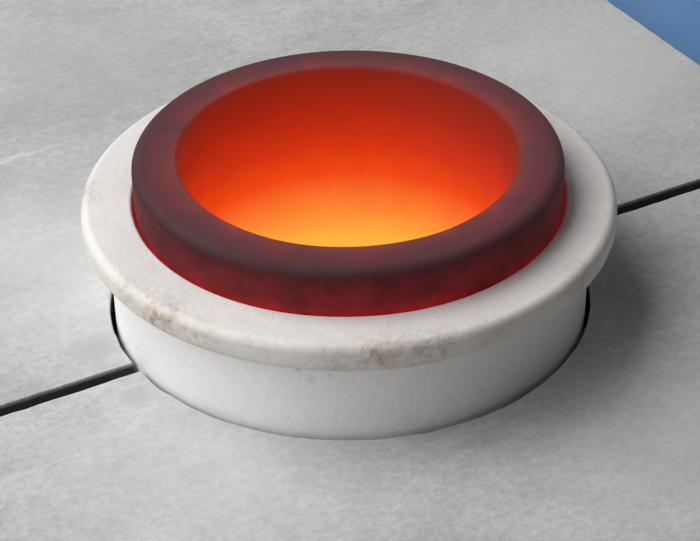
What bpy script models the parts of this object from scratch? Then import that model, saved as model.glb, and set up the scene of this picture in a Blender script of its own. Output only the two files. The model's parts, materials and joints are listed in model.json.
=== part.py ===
# Bench-top electric furnace for melting gold.
# A graphite crucible stands in a flanged ceramic sleeve, which a water-cooled copper coil heats from
# outside. The sleeve comes up through a round hole where the two halves of a cement-board top meet.
# Units are metres, +Z is up, -Y is the front, and the origin is the middle of the box round it all,
# on the surface that the feet stand on.
import math

import bmesh
import bpy
from mathutils import Matrix, Vector

MM = 0.001

# Clearances and tolerances
SEAT_GAP = 0.3 * MM
FIT_GAP = 0.4 * MM
CUT_OVERRUN = 1.0 * MM
WELD = 0.001 * MM
SHARP_ANGLE = math.radians(35)

# Crucible
CRUCIBLE_RADIUS = 51.2 * MM
CRUCIBLE_TAPER = 5.2 * MM
CRUCIBLE_TAPER_HEIGHT = 60.0 * MM
CRUCIBLE_HEIGHT = 130.0 * MM
CRUCIBLE_WALL = 11.0 * MM
CRUCIBLE_FLOOR = 12.0 * MM
CRUCIBLE_RIM_ROUND = 1.4 * MM
CRUCIBLE_LIP_ROUND = 0.6 * MM
CRUCIBLE_FOOT_ROUND = 4.0 * MM
BOWL_ROUND = 20.0 * MM
RIM_ABOVE_FLANGE = 10.9 * MM

# Sleeve that the crucible stands in
SLEEVE_WALL = 6.0 * MM
SLEEVE_BORE_CLEARANCE = 0.6 * MM
SLEEVE_FLOOR = 10.0 * MM
FLANGE_OVERHANG = 6.2 * MM
FLANGE_THICKNESS = 7.5 * MM
FLANGE_ROUND = 1.2 * MM
FLANGE_LIFT = 29.0 * MM
PAD_THICKNESS = 8.0 * MM
PAD_RADIAL_CLEARANCE = 1.0 * MM

# Board top, in two halves
BOARD_WIDTH = 285.0 * MM
BOARD_THICKNESS = 15.0 * MM
BOARD_FRONT_REACH = 165.0 * MM
BOARD_REAR_REACH = 205.0 * MM
BOARD_MARGIN = 4.0 * MM
BOARD_HOLE_CLEARANCE = 1.8 * MM
SEAM_GAP = 3.5 * MM
SEAM_OFFSET = 3.1 * MM
BOARD_SCREW_INSET = 11.0 * MM
BOARD_SCREW_SEAM_INSET = 14.0 * MM
BOARD_SCREW_RADIUS = 2.0 * MM

# Cabinet of sheet steel
CONTROL_MARGIN = 14.5 * MM
SHEET = 2.0 * MM
DECK_THICKNESS = 3.0 * MM
BASE_THICKNESS = 3.0 * MM
LEDGE_WIDTH = 20.0 * MM
FOOT_HEIGHT = 14.0 * MM
FOOT_RADIUS = 15.0 * MM
FOOT_TOE_RADIUS = 12.0 * MM
FOOT_INSET = 32.0 * MM
VENT_COUNT = 8
VENT_LENGTH = 90.0 * MM
VENT_HEIGHT = 4.0 * MM
VENT_PITCH = 11.0 * MM
VENT_FIRST_HEIGHT = 36.0 * MM
CASE_SCREW_RADIUS = 1.9 * MM
CASE_SCREW_INSET = 11.0 * MM
HANDLE_SPAN = 120.0 * MM
HANDLE_REACH = 34.0 * MM
HANDLE_ROD_RADIUS = 5.0 * MM
HANDLE_BEND_RADIUS = 14.0 * MM
HANDLE_DROP = 45.0 * MM

# Hearth and coil
HEARTH_MARGIN = 4.4 * MM
INSULATING_BLOCK_HEIGHT = 64.0 * MM
HEARTH_TILE_HEIGHT = 20.0 * MM
LINER_WALL = 4.0 * MM
COIL_TUBE_RADIUS = 4.5 * MM
COIL_TURN_CLEARANCE = 1.5 * MM
COIL_LOW_CLEARANCE = 2.0 * MM
COIL_TOP_CLEARANCE = 9.0 * MM
COIL_LEAD_OUT = 24.0 * MM
COIL_POST_WIDTH = 16.0 * MM
COIL_POST_THICKNESS = 11.0 * MM
LEAD_HOLE_CLEARANCE = 2.0 * MM

# Meter
METER_WIDTH = 96.0 * MM
METER_HEIGHT = 48.0 * MM
METER_BEZEL_DEPTH = 6.0 * MM
METER_BODY_DEPTH = 58.0 * MM
METER_RIM = 2.5 * MM
WINDOW_SIDE_INSET = 10.0 * MM
WINDOW_TOP_INSET = 9.0 * MM
WINDOW_THICKNESS = 1.2 * MM

# Indicator lamps
LAMP_PITCH = 26.0 * MM
LAMP_BODY_RADIUS = 5.0 * MM
LAMP_BODY_DEPTH = 20.0 * MM
LAMP_BEZEL_RADIUS = 7.0 * MM
LAMP_BEZEL_HEIGHT = 2.5 * MM
LAMP_LENS_RADIUS = 4.6 * MM
LAMP_LENS_HEIGHT = 3.6 * MM

# Power knob
KNOB_OFFSET = -26.0 * MM
KNOB_SKIRT_RADIUS = 16.0 * MM
KNOB_SKIRT_HEIGHT = 3.0 * MM
KNOB_GRIP_INSET = 4.0 * MM
KNOB_FLUTE_DEPTH = 0.9 * MM
KNOB_HEIGHT = 21.0 * MM
KNOB_CROWN_ROUND = 1.5 * MM
DIAL_BORDER = 9.0 * MM
DIAL_THICKNESS = 1.0 * MM
POT_BUSHING_RADIUS = 4.5 * MM
POT_BODY_RADIUS = 12.0 * MM
POT_BODY_DEPTH = 16.0 * MM
KNOB_START_ANGLE = math.radians(225)

# Push buttons
BUTTON_OFFSET = 26.0 * MM
BUTTON_LAMP_CLEARANCE = 2.5 * MM
BUTTON_SPACING = 36.0 * MM
BUTTON_STEM_RADIUS = 9.5 * MM
COLLAR_WIDTH = 4.0 * MM
COLLAR_HEIGHT = 5.0 * MM
START_PROUD = 5.0 * MM
STOP_HEAD_OVERHANG = 5.5 * MM
STOP_HEAD_HEIGHT = 7.0 * MM
BUTTON_EDGE_ROUND = 1.2 * MM
BUTTON_TRAVEL = 4.0 * MM
BUTTON_STEM_DEPTH = 6.0 * MM
CONTACT_WALL = 3.5 * MM
CONTACT_DEPTH = 30.0 * MM
CONTACT_CLEARANCE = 1.0 * MM

# Rocker switch
ROCKER_FRAME_WIDTH = 24.0 * MM
ROCKER_FRAME_HEIGHT = 32.0 * MM
ROCKER_FRAME_RIM = 2.5 * MM
ROCKER_FRAME_PROUD = 2.5 * MM
ROCKER_BODY_DEPTH = 26.0 * MM
ROCKER_WELL_DEPTH = 12.0 * MM
ROCKER_HALF_LENGTH = 11.4 * MM
ROCKER_END_PROUD = 6.2 * MM
ROCKER_MIDDLE_PROUD = 4.2 * MM
ROCKER_PIVOT_DEPTH = 2.0 * MM
ROCKER_BACK_DEPTH = 6.0 * MM
ROCKER_TILT = math.radians(10)

# Cooling fan
FAN_SIZE = 80.0 * MM
FAN_DEPTH = 25.0 * MM
FAN_WALL = 2.5 * MM
FAN_HOLE_INSET = 4.25 * MM
FAN_SCREW_RADIUS = 2.0 * MM
FAN_BOSS_RADIUS = 15.0 * MM
FAN_HUB_ROUND = 1.2 * MM
FAN_STRUT_WIDTH = 5.0 * MM
FAN_STRUT_DEPTH = 4.0 * MM
FAN_BLADE_COUNT = 7
FAN_BLADE_CHORD = 13.0 * MM
FAN_BLADE_THICKNESS = 1.6 * MM
FAN_BLADE_PITCH = math.radians(38)
FAN_TIP_CLEARANCE = 1.5 * MM
FAN_ROTOR_INSET = 3.0 * MM
GUARD_THICKNESS = 1.2 * MM
GUARD_BAR = 3.0 * MM
GUARD_RING_COUNT = 3
GUARD_CENTRE_RADIUS = 11.0 * MM

# Water and mains inlets at the rear
NIPPLE_OFFSET = 34.0 * MM
NIPPLE_REACH = 26.0 * MM
NIPPLE_INNER_REACH = 18.0 * MM
NIPPLE_THREAD_RADIUS = 6.0 * MM
NIPPLE_NUT_RADIUS = 10.0 * MM
NIPPLE_NUT_HEIGHT = 5.0 * MM
NIPPLE_TAIL_RADIUS = 4.2 * MM
NIPPLE_BARB_RADIUS = 5.2 * MM
NIPPLE_BARB_COUNT = 3
NIPPLE_BORE_RADIUS = 2.0 * MM
NIPPLE_BORE_DEPTH = 12.0 * MM
HOSE_RADIUS = 6.0 * MM
HOSE_BEND = 30.0 * MM
HOSE_WALL_CLEARANCE = 14.0 * MM
GLAND_THREAD_RADIUS = 8.0 * MM
GLAND_BORE_RADIUS = 5.0 * MM
GLAND_NUT_RADIUS = 11.5 * MM
GLAND_NUT_HEIGHT = 5.0 * MM
GLAND_DOME_RADIUS = 9.5 * MM
GLAND_DOME_HEIGHT = 12.0 * MM
GLAND_INNER_REACH = 9.0 * MM
EARTH_STUD_RADIUS = 3.0 * MM
EARTH_NUT_RADIUS = 5.6 * MM
EARTH_NUT_HEIGHT = 4.5 * MM
EARTH_WASHER_RADIUS = 7.5 * MM
EARTH_WASHER_THICKNESS = 1.2 * MM
EARTH_REACH = 14.0 * MM

# Power electronics
BUS_THICKNESS = 4.0 * MM
BUS_OVERHANG = 10.0 * MM
BUS_LAP = 24.0 * MM
CAPACITOR_HEIGHT = 138.0 * MM
CAPACITOR_HOSE_CLEARANCE = 14.0 * MM
CAPACITOR_LEAD_CLEARANCE = 5.2 * MM
SINK_FROM_PARTITION = 8.0 * MM
SINK_WIDTH = 70.0 * MM
SINK_CAPACITOR_CLEARANCE = 15.0 * MM
SINK_SLAB = 7.0 * MM
SINK_FIN_HEIGHT = 30.0 * MM
SINK_FIN_THICKNESS = 3.0 * MM
SINK_FIN_COUNT = 7
SINK_REAR_GAP = 50.0 * MM
MODULE_SIDE_INSET = 7.0 * MM
MODULE_END_INSET = 4.0 * MM
MODULE_HEIGHT = 20.0 * MM
CARD_THICKNESS = 1.6 * MM

# How the spare height of a panel is shared out above each row of fittings, from the top down
CONTROL_GAP_SHARES = (0.30, 0.12, 0.09, 0.20)
REAR_GAP_SHARES = (0.30, 0.11, 0.12)

# Counts of sides and steps
ROUND_SIDES = 48
PIECE_SIDES = 24
SMALL_SIDES = 12
SCREW_SIDES = 8
HOLE_SIDES = 12
ARC_STEPS = 4
COIL_STEPS = 20

# Sizes worked out from the piece that each one goes round or fits in
SLEEVE_BORE = CRUCIBLE_RADIUS + SLEEVE_BORE_CLEARANCE
SLEEVE_RADIUS = SLEEVE_BORE + SLEEVE_WALL
FLANGE_RADIUS = SLEEVE_RADIUS + FLANGE_OVERHANG
DIAL_RADIUS = KNOB_SKIRT_RADIUS + DIAL_BORDER
KNOB_GRIP_RADIUS = KNOB_SKIRT_RADIUS - KNOB_GRIP_INSET
COLLAR_RADIUS = BUTTON_STEM_RADIUS + COLLAR_WIDTH
STOP_HEAD_RADIUS = BUTTON_STEM_RADIUS + STOP_HEAD_OVERHANG
FAN_BORE_RADIUS = FAN_SIZE / 2 - FAN_WALL
FAN_HOLE_SPACING = FAN_SIZE - 2 * FAN_HOLE_INSET

# Cabinet, worked out from the board top and the deck beside it
DECK_WIDTH = METER_WIDTH + 2 * CONTROL_MARGIN
CABINET_WIDTH = BOARD_MARGIN + BOARD_WIDTH + DECK_WIDTH
CABINET_DEPTH = 2 * BOARD_MARGIN + BOARD_FRONT_REACH + BOARD_REAR_REACH
KNOB_REACH = 2 * SEAT_GAP + DIAL_THICKNESS + KNOB_HEIGHT
X_LEFT = -CABINET_WIDTH / 2
X_RIGHT = CABINET_WIDTH / 2
Y_FRONT = -(CABINET_DEPTH + KNOB_REACH + NIPPLE_REACH) / 2 + KNOB_REACH
Y_REAR = Y_FRONT + CABINET_DEPTH
X_INNER_LEFT = X_LEFT + SHEET + SEAT_GAP
X_INNER_RIGHT = X_RIGHT - SHEET - SEAT_GAP
Y_INNER_FRONT = Y_FRONT + SHEET + SEAT_GAP
Y_INNER_REAR = Y_REAR - SHEET - SEAT_GAP

# Middle of the crucible, the seam and the board's edges
AXIS_X = X_LEFT + BOARD_MARGIN + BOARD_WIDTH / 2
AXIS_Y = Y_FRONT + BOARD_MARGIN + BOARD_FRONT_REACH
SEAM_Y = AXIS_Y - SEAM_OFFSET
BOARD_LEFT = X_LEFT + BOARD_MARGIN
BOARD_RIGHT = BOARD_LEFT + BOARD_WIDTH
BOARD_FRONT = Y_FRONT + BOARD_MARGIN
BOARD_REAR = Y_REAR - BOARD_MARGIN
BOARD_HOLE_RADIUS = SLEEVE_RADIUS + BOARD_HOLE_CLEARANCE
DECK_LEFT = BOARD_RIGHT - LEDGE_WIDTH + BOARD_MARGIN

# Heights, from the surface the feet stand on upwards
Z_BASE = FOOT_HEIGHT + SEAT_GAP
Z_BASE_TOP = Z_BASE + BASE_THICKNESS
Z_BLOCK = Z_BASE_TOP + SEAT_GAP
Z_TILE = Z_BLOCK + INSULATING_BLOCK_HEIGHT + SEAT_GAP
Z_TILE_TOP = Z_TILE + HEARTH_TILE_HEIGHT
Z_SLEEVE = Z_TILE_TOP + SEAT_GAP
Z_PAD = Z_SLEEVE + SLEEVE_FLOOR + SEAT_GAP
Z_CRUCIBLE = Z_PAD + PAD_THICKNESS + SEAT_GAP
Z_RIM = Z_CRUCIBLE + CRUCIBLE_HEIGHT
Z_FLANGE_TOP = Z_RIM - RIM_ABOVE_FLANGE
Z_BOARD_TOP = Z_FLANGE_TOP - FLANGE_LIFT
Z_BOARD = Z_BOARD_TOP - BOARD_THICKNESS
Z_DECK_TOP = Z_BOARD - SEAT_GAP
Z_DECK = Z_DECK_TOP - DECK_THICKNESS
Z_PANEL_TOP = Z_DECK - SEAT_GAP

# Column of controls in front of the electronics
CONTROL_X = (BOARD_RIGHT + X_RIGHT) / 2
PARTITION_X = BOARD_RIGHT

FINISHES = {
    "graphite": ((74, 42, 44), 0.75, 0.0),
    "ceramic": ((228, 226, 220), 0.70, 0.0),
    "fibre": ((235, 232, 222), 0.95, 0.0),
    "cement_board": ((196, 196, 193), 0.90, 0.0),
    "firebrick": ((222, 206, 176), 0.95, 0.0),
    "copper": ((196, 112, 76), 0.30, 1.0),
    "phenolic": ((110, 68, 40), 0.60, 0.0),
    "blue_paint": ((60, 108, 172), 0.38, 0.0),
    "zinc_steel": ((180, 182, 184), 0.35, 1.0),
    "brass": ((196, 160, 92), 0.32, 1.0),
    "rubber": ((36, 36, 38), 0.85, 0.0),
    "hose_rubber": ((44, 60, 96), 0.65, 0.0),
    "black_plastic": ((30, 31, 33), 0.50, 0.0),
    "smoked_window": ((40, 12, 14), 0.12, 0.0),
    "dial_face": ((214, 215, 216), 0.45, 0.4),
    "green_plastic": ((34, 140, 76), 0.35, 0.0),
    "red_plastic": ((188, 34, 32), 0.35, 0.0),
    "amber_plastic": ((232, 154, 32), 0.30, 0.0),
    "aluminium": ((200, 202, 205), 0.40, 1.0),
    "circuit_card": ((30, 92, 58), 0.55, 0.0),
}

# Turns a shape drawn with +Z outwards to face the front, the rear or the right
FACING_FRONT = Matrix.Rotation(math.pi / 2, 4, "X")
FACING_REAR = Matrix.Rotation(math.pi, 4, "Z") @ FACING_FRONT
FACING_RIGHT = Matrix(((0, 0, 1, 0), (1, 0, 0, 0), (0, 1, 0, 0), (0, 0, 0, 1)))


def clear_scene():
    for old in list(bpy.data.objects):
        bpy.data.objects.remove(old, do_unlink=True)


def linear(channel):
    share = channel / 255
    return share / 12.92 if share <= 0.04045 else ((share + 0.055) / 1.055) ** 2.4


def paint(piece, finish):
    colour, roughness, metallic = FINISHES[finish]
    paint_material = bpy.data.materials.new(piece.name + "_" + finish)
    paint_material.use_nodes = True
    shader = paint_material.node_tree.nodes["Principled BSDF"]
    shader.inputs["Base Color"].default_value = (*(linear(channel) for channel in colour), 1)
    shader.inputs["Roughness"].default_value = roughness
    shader.inputs["Metallic"].default_value = metallic
    piece.data.materials.append(paint_material)


def moved(x, y, z):
    return Matrix.Translation((x, y, z))


def finished_shape(builder, place):
    # Welds one solid, turns its faces outwards, puts it in place and returns its mesh
    bmesh.ops.remove_doubles(builder, verts=builder.verts, dist=WELD)
    bmesh.ops.recalc_face_normals(builder, faces=builder.faces)
    if builder.calc_volume(signed=True) < 0:
        bmesh.ops.reverse_faces(builder, faces=builder.faces)
    if place is not None:
        builder.transform(place)
    mesh = bpy.data.meshes.new("shape")
    builder.to_mesh(mesh)
    builder.free()
    return mesh


def box(low, high):
    # A block between two opposite corners
    builder = bmesh.new()
    bmesh.ops.create_cube(builder, size=1)
    low, high = Vector(low), Vector(high)
    size = high - low
    stretch = Matrix.Diagonal((size.x, size.y, size.z, 1))
    return finished_shape(builder, Matrix.Translation((low + high) / 2) @ stretch)


def turned(profile, sides, place=None, closed=False):
    # A round shape spun about Z from (radius, height) points; closed profiles make rings
    builder = bmesh.new()
    corners = [builder.verts.new((radius, 0, height)) for radius, height in profile]
    edges = [builder.edges.new(pair) for pair in zip(corners, corners[1:])]
    if closed:
        edges.append(builder.edges.new((corners[-1], corners[0])))
    bmesh.ops.spin(
        builder,
        geom=corners + edges,
        cent=(0, 0, 0),
        axis=(0, 0, 1),
        angle=2 * math.pi,
        steps=sides,
        use_merge=True,
    )
    return finished_shape(builder, place)


def plate(outline, thickness, place=None, holes=()):
    # A flat plate drawn in XY and raised by its thickness along Z, with any holes left open
    builder = bmesh.new()
    edges = []
    for loop in (outline, *holes):
        corners = [builder.verts.new((x, y, 0)) for x, y in loop]
        edges += [builder.edges.new(pair) for pair in zip(corners, corners[1:] + corners[:1])]
    bmesh.ops.triangle_fill(builder, use_beauty=True, edges=edges, normal=(0, 0, 1))
    raised = bmesh.ops.extrude_face_region(builder, geom=builder.faces[:])["geom"]
    top = [part for part in raised if isinstance(part, bmesh.types.BMVert)]
    bmesh.ops.translate(builder, verts=top, vec=(0, 0, thickness))
    return finished_shape(builder, place)


def lofted(loops, place=None):
    # A solid through equal loops of points, capped at both ends
    builder = bmesh.new()
    rings = [[builder.verts.new(point) for point in loop] for loop in loops]
    for ring, following in zip(rings, rings[1:]):
        for index, corner in enumerate(ring):
            beside = (index + 1) % len(ring)
            builder.faces.new((corner, ring[beside], following[beside], following[index]))
    builder.faces.new(rings[0][::-1])
    builder.faces.new(rings[-1])
    return finished_shape(builder, place)


def make(name, shape, finish, origin=(0, 0, 0)):
    # One named piece from one solid, with its own origin
    shape.transform(Matrix.Translation(-Vector(origin)))
    shape.name = name
    shape.shade_smooth()
    shape.set_sharp_from_angle(angle=SHARP_ANGLE)
    piece = bpy.data.objects.new(name, shape)
    piece.location = origin
    bpy.context.scene.collection.objects.link(piece)
    paint(piece, finish)
    return piece


def unite(piece, number, shape):
    # Joins a helper solid to a piece
    helper = make(f"{piece.name}_union_{number}", shape, "zinc_steel")
    helper.hide_render = True
    helper.display_type = "WIRE"
    step = piece.modifiers.new("Union", "BOOLEAN")
    step.operation = "UNION"
    step.solver = "EXACT"
    step.object = helper


def tube(name, route, radius, finish, resolution):
    # A round rod or hose along a list of points
    curve = bpy.data.curves.new(name, "CURVE")
    curve.dimensions = "3D"
    spline = curve.splines.new("POLY")
    spline.points.add(len(route) - 1)
    for point, place in zip(spline.points, route):
        point.co = (*place, 1)
    curve.bevel_depth = radius
    curve.bevel_resolution = resolution
    curve.use_fill_caps = True
    piece = bpy.data.objects.new(name, curve)
    bpy.context.scene.collection.objects.link(piece)
    paint(piece, finish)
    return piece


def rectangle(left, low, right, high):
    return [(left, low), (right, low), (right, high), (left, high)]


def centred(x, y, width, height):
    return rectangle(x - width / 2, y - height / 2, x + width / 2, y + height / 2)


def circle(x, y, radius, sides=HOLE_SIDES):
    turns = [2 * math.pi * index / sides for index in range(sides)]
    return [(x + radius * math.cos(turn), y + radius * math.sin(turn)) for turn in turns]


def arc(x, y, radius, start, end, steps):
    turns = [start + (end - start) * index / steps for index in range(steps + 1)]
    return [(x + radius * math.cos(turn), y + radius * math.sin(turn)) for turn in turns]


def smooth_route(stops, steps):
    # A smooth curve through the stops, with the first and last stretches kept straight
    route = [Vector(stops[0])]
    for before, here, there, after in zip(stops, stops[1:], stops[2:], stops[3:]):
        before, here, there, after = (Vector(stop) for stop in (before, here, there, after))
        for step in range(steps):
            t = step / steps
            route.append(
                0.5
                * (
                    2 * here
                    + (there - before) * t
                    + (2 * before - 5 * here + 4 * there - after) * t**2
                    + (3 * here - before - 3 * there + after) * t**3
                )
            )
    return [*route, Vector(stops[-2]), Vector(stops[-1])]


def xz_panel(outline, holes, y_low, thickness):
    # A plate drawn in X and Z, from y_low backwards
    return plate(outline, thickness, moved(0, y_low + thickness, 0) @ FACING_FRONT, holes)


def yz_panel(outline, holes, x_low, thickness):
    # A plate drawn in Y and Z, from x_low to the right
    return plate(outline, thickness, moved(x_low, 0, 0) @ FACING_RIGHT, holes)


def make_crucible():
    inner = CRUCIBLE_RADIUS - CRUCIBLE_WALL
    rim, lip = CRUCIBLE_RIM_ROUND, CRUCIBLE_LIP_ROUND
    half_turn = math.pi / 2
    foot = CRUCIBLE_RADIUS - CRUCIBLE_TAPER
    profile = [(0, 0), (foot - CRUCIBLE_FOOT_ROUND, 0), (foot, CRUCIBLE_FOOT_ROUND)]
    profile += [(CRUCIBLE_RADIUS, CRUCIBLE_TAPER_HEIGHT)]
    profile += arc(CRUCIBLE_RADIUS - rim, CRUCIBLE_HEIGHT - rim, rim, 0, half_turn, ARC_STEPS)
    profile += [(inner + lip, CRUCIBLE_HEIGHT), (inner, CRUCIBLE_HEIGHT - lip)]
    bowl_x = inner - BOWL_ROUND
    bowl_z = CRUCIBLE_FLOOR + BOWL_ROUND
    profile += arc(bowl_x, bowl_z, BOWL_ROUND, 0, -half_turn, ARC_STEPS)
    profile += [(0, CRUCIBLE_FLOOR)]
    place = moved(AXIS_X, AXIS_Y, Z_CRUCIBLE)
    make("crucible", turned(profile, ROUND_SIDES, place), "graphite", (AXIS_X, AXIS_Y, Z_CRUCIBLE))


def make_sleeve():
    bore = SLEEVE_BORE
    top = Z_FLANGE_TOP - Z_SLEEVE
    under = top - FLANGE_THICKNESS
    edge = FLANGE_ROUND
    quarter = math.pi / 2
    profile = [(0, 0), (SLEEVE_RADIUS, 0), (SLEEVE_RADIUS, under), (FLANGE_RADIUS - edge, under)]
    profile += [(FLANGE_RADIUS, under + edge)]
    profile += arc(FLANGE_RADIUS - edge, top - edge, edge, 0, quarter, 2)
    profile += [(bore, top), (bore, SLEEVE_FLOOR), (0, SLEEVE_FLOOR)]
    origin = (AXIS_X, AXIS_Y, Z_SLEEVE)
    make("sleeve", turned(profile, ROUND_SIDES, moved(*origin)), "ceramic", origin)
    pad_radius = bore - PAD_RADIAL_CLEARANCE
    pad = [(0, 0), (pad_radius, 0), (pad_radius, PAD_THICKNESS), (0, PAD_THICKNESS)]
    origin = (AXIS_X, AXIS_Y, Z_PAD)
    make("crucible_pad", turned(pad, PIECE_SIDES, moved(*origin)), "fibre", origin)


def board_screw_places(half):
    # Four screws in each half: two near its outer edge and two near the seam
    left = BOARD_LEFT + BOARD_SCREW_INSET
    right = BOARD_RIGHT - BOARD_SCREW_INSET
    if half == "front":
        rows = (BOARD_FRONT + BOARD_SCREW_INSET, SEAM_Y - BOARD_SCREW_SEAM_INSET)
    else:
        rows = (BOARD_REAR - BOARD_SCREW_INSET, SEAM_Y + BOARD_SCREW_SEAM_INSET)
    return [(x, y) for y in rows for x in (left, right)]


def screw_holes(places, clearance=FIT_GAP):
    return [circle(x, y, BOARD_SCREW_RADIUS + clearance, SCREW_SIDES) for x, y in places]


def board_outline(half):
    # A rectangle whose inner edge is bitten out by the round hole for the sleeve
    side = -1 if half == "front" else 1
    outer = BOARD_FRONT if half == "front" else BOARD_REAR
    inner = SEAM_Y + side * SEAM_GAP / 2
    start = math.asin((inner - AXIS_Y) / BOARD_HOLE_RADIUS)
    steps = ROUND_SIDES // 2
    if half == "front":
        bite = arc(AXIS_X, AXIS_Y, BOARD_HOLE_RADIUS, start, -math.pi - start, steps)
    else:
        bite = arc(AXIS_X, AXIS_Y, BOARD_HOLE_RADIUS, start, math.pi - start, steps)
    corners = [(BOARD_LEFT, inner), (BOARD_LEFT, outer), (BOARD_RIGHT, outer), (BOARD_RIGHT, inner)]
    return corners + bite


def make_boards():
    for half in ("front", "rear"):
        holes = screw_holes(board_screw_places(half))
        board = plate(board_outline(half), BOARD_THICKNESS, moved(0, 0, Z_BOARD), holes)
        make(half + "_board", board, "cement_board")


def make_top_frame():
    # Flat steel bars along three sides and the deck over the electronics carry the boards
    bar_end = DECK_LEFT - SEAT_GAP
    place = moved(0, 0, Z_DECK)
    front = board_screw_places("front")
    rear = board_screw_places("rear")
    low = Y_FRONT + LEDGE_WIDTH
    high = Y_REAR - LEDGE_WIDTH
    bar_right = X_LEFT + LEDGE_WIDTH
    for side, outline, screws in (
        ("front", rectangle(X_LEFT, Y_FRONT, bar_end, low), (front[0],)),
        ("rear", rectangle(X_LEFT, high, bar_end, Y_REAR), (rear[0],)),
        ("left", rectangle(X_LEFT, low + SEAT_GAP, bar_right, high - SEAT_GAP), (front[2], rear[2])),
    ):
        bar = plate(outline, DECK_THICKNESS, place, screw_holes(screws))
        make(side + "_ledge", bar, "blue_paint")
    outline = rectangle(DECK_LEFT, Y_FRONT, X_RIGHT, Y_REAR)
    holes = screw_holes([front[1], front[3], rear[1], rear[3]])
    holes += [circle(x, y, CASE_SCREW_RADIUS + FIT_GAP, SCREW_SIDES) for x, y in deck_screw_places()]
    make("deck", plate(outline, DECK_THICKNESS, place, holes), "blue_paint")


def deck_screw_places():
    x = X_RIGHT - CASE_SCREW_INSET
    return [(x, Y_FRONT + CASE_SCREW_INSET), (x, Y_REAR - CASE_SCREW_INSET)]


def wall_screw_places(low, high):
    # The four corners of a panel, as places along its width and height
    rows = (Z_BASE + CASE_SCREW_INSET, Z_PANEL_TOP - CASE_SCREW_INSET)
    return [(s, z) for z in rows for s in (low + CASE_SCREW_INSET, high - CASE_SCREW_INSET)]


def wall_screw_holes(low, high):
    hole = CASE_SCREW_RADIUS + FIT_GAP
    return [circle(s, z, hole, SCREW_SIDES) for s, z in wall_screw_places(low, high)]


def vent_slots():
    middle = (Y_FRONT + Y_REAR) / 2
    rows = [Z_BASE + VENT_FIRST_HEIGHT + VENT_PITCH * index for index in range(VENT_COUNT)]
    return [centred(middle, z, VENT_LENGTH, VENT_HEIGHT) for z in rows]


def handle_places():
    middle = (Y_FRONT + Y_REAR) / 2
    z = Z_PANEL_TOP - HANDLE_DROP
    return [(middle - HANDLE_SPAN / 2, z), (middle + HANDLE_SPAN / 2, z)]


def make_cabinet():
    walls = rectangle(X_LEFT, Z_BASE, X_RIGHT, Z_PANEL_TOP)
    front_holes = wall_screw_holes(X_LEFT, X_RIGHT) + control_holes()
    front = xz_panel(walls, front_holes, Y_FRONT, SHEET)
    make("front_panel", front, "blue_paint")
    rear_holes = wall_screw_holes(X_LEFT, X_RIGHT) + rear_fitting_holes()
    make("rear_panel", xz_panel(walls, rear_holes, Y_REAR - SHEET, SHEET), "blue_paint")
    side = rectangle(Y_INNER_FRONT, Z_BASE, Y_INNER_REAR, Z_PANEL_TOP)
    side_holes = wall_screw_holes(Y_INNER_FRONT, Y_INNER_REAR) + vent_slots()
    make("left_panel", yz_panel(side, side_holes, X_LEFT, SHEET), "blue_paint")
    make("right_panel", yz_panel(side, side_holes, X_RIGHT - SHEET, SHEET), "blue_paint")
    base = rectangle(X_INNER_LEFT, Y_INNER_FRONT, X_INNER_RIGHT, Y_INNER_REAR)
    make("base_plate", plate(base, BASE_THICKNESS, moved(0, 0, Z_BASE)), "zinc_steel")
    wall = rectangle(Y_INNER_FRONT, Z_BLOCK, Y_INNER_REAR, Z_PANEL_TOP)
    lead_hole = COIL_TUBE_RADIUS + LEAD_HOLE_CLEARANCE
    holes = [circle(y, z, lead_hole) for y, z in lead_places()]
    make("partition", yz_panel(wall, holes, PARTITION_X, SHEET), "zinc_steel")


def make_feet():
    profile = [(0, 0), (FOOT_TOE_RADIUS, 0), (FOOT_RADIUS, FOOT_HEIGHT), (0, FOOT_HEIGHT)]
    for side, y in (("front", Y_FRONT + FOOT_INSET), ("rear", Y_REAR - FOOT_INSET)):
        for hand, x in (("left", X_LEFT + FOOT_INSET), ("right", X_RIGHT - FOOT_INSET)):
            make(f"{side}_{hand}_foot", turned(profile, PIECE_SIDES, moved(x, y, 0)), "rubber")


def make_handles():
    # A bent rod on each side, its feet on the panel
    (y_low, z), (y_high, _) = handle_places()
    bend = HANDLE_BEND_RADIUS
    reach = HANDLE_REACH - HANDLE_ROD_RADIUS
    quarter = math.pi / 2
    for name, face, side in (("left_handle", X_LEFT, -1), ("right_handle", X_RIGHT, 1)):
        outline = [(SEAT_GAP, y_low)]
        outline += arc(reach - bend, y_low + bend, bend, -quarter, 0, ARC_STEPS)
        outline += arc(reach - bend, y_high - bend, bend, 0, quarter, ARC_STEPS)
        outline += [(SEAT_GAP, y_high)]
        route = [(face + side * out, y, z) for out, y in outline]
        tube(name, route, HANDLE_ROD_RADIUS, "zinc_steel", 2)


def make_hearth():
    half = BOARD_HOLE_RADIUS + LINER_WALL + HEARTH_MARGIN
    for name, low, height in (
        ("insulating_block", Z_BLOCK, INSULATING_BLOCK_HEIGHT),
        ("hearth_tile", Z_TILE, HEARTH_TILE_HEIGHT),
    ):
        corner = (AXIS_X - half, AXIS_Y - half, low)
        opposite = (AXIS_X + half, AXIS_Y + half, low + height)
        make(name, box(corner, opposite), "firebrick")


def coil_chord_share():
    # How much nearer the middle of a straight stretch lies than the ends that it joins
    return math.cos(math.pi / COIL_STEPS)


def coil_radius():
    return (BOARD_HOLE_RADIUS + LINER_WALL + SEAT_GAP + COIL_TUBE_RADIUS) / coil_chord_share()


def coil_heights():
    low = Z_TILE_TOP + COIL_LOW_CLEARANCE + COIL_TUBE_RADIUS
    high = Z_PANEL_TOP - COIL_TOP_CLEARANCE - COIL_TUBE_RADIUS
    return low, high


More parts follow.
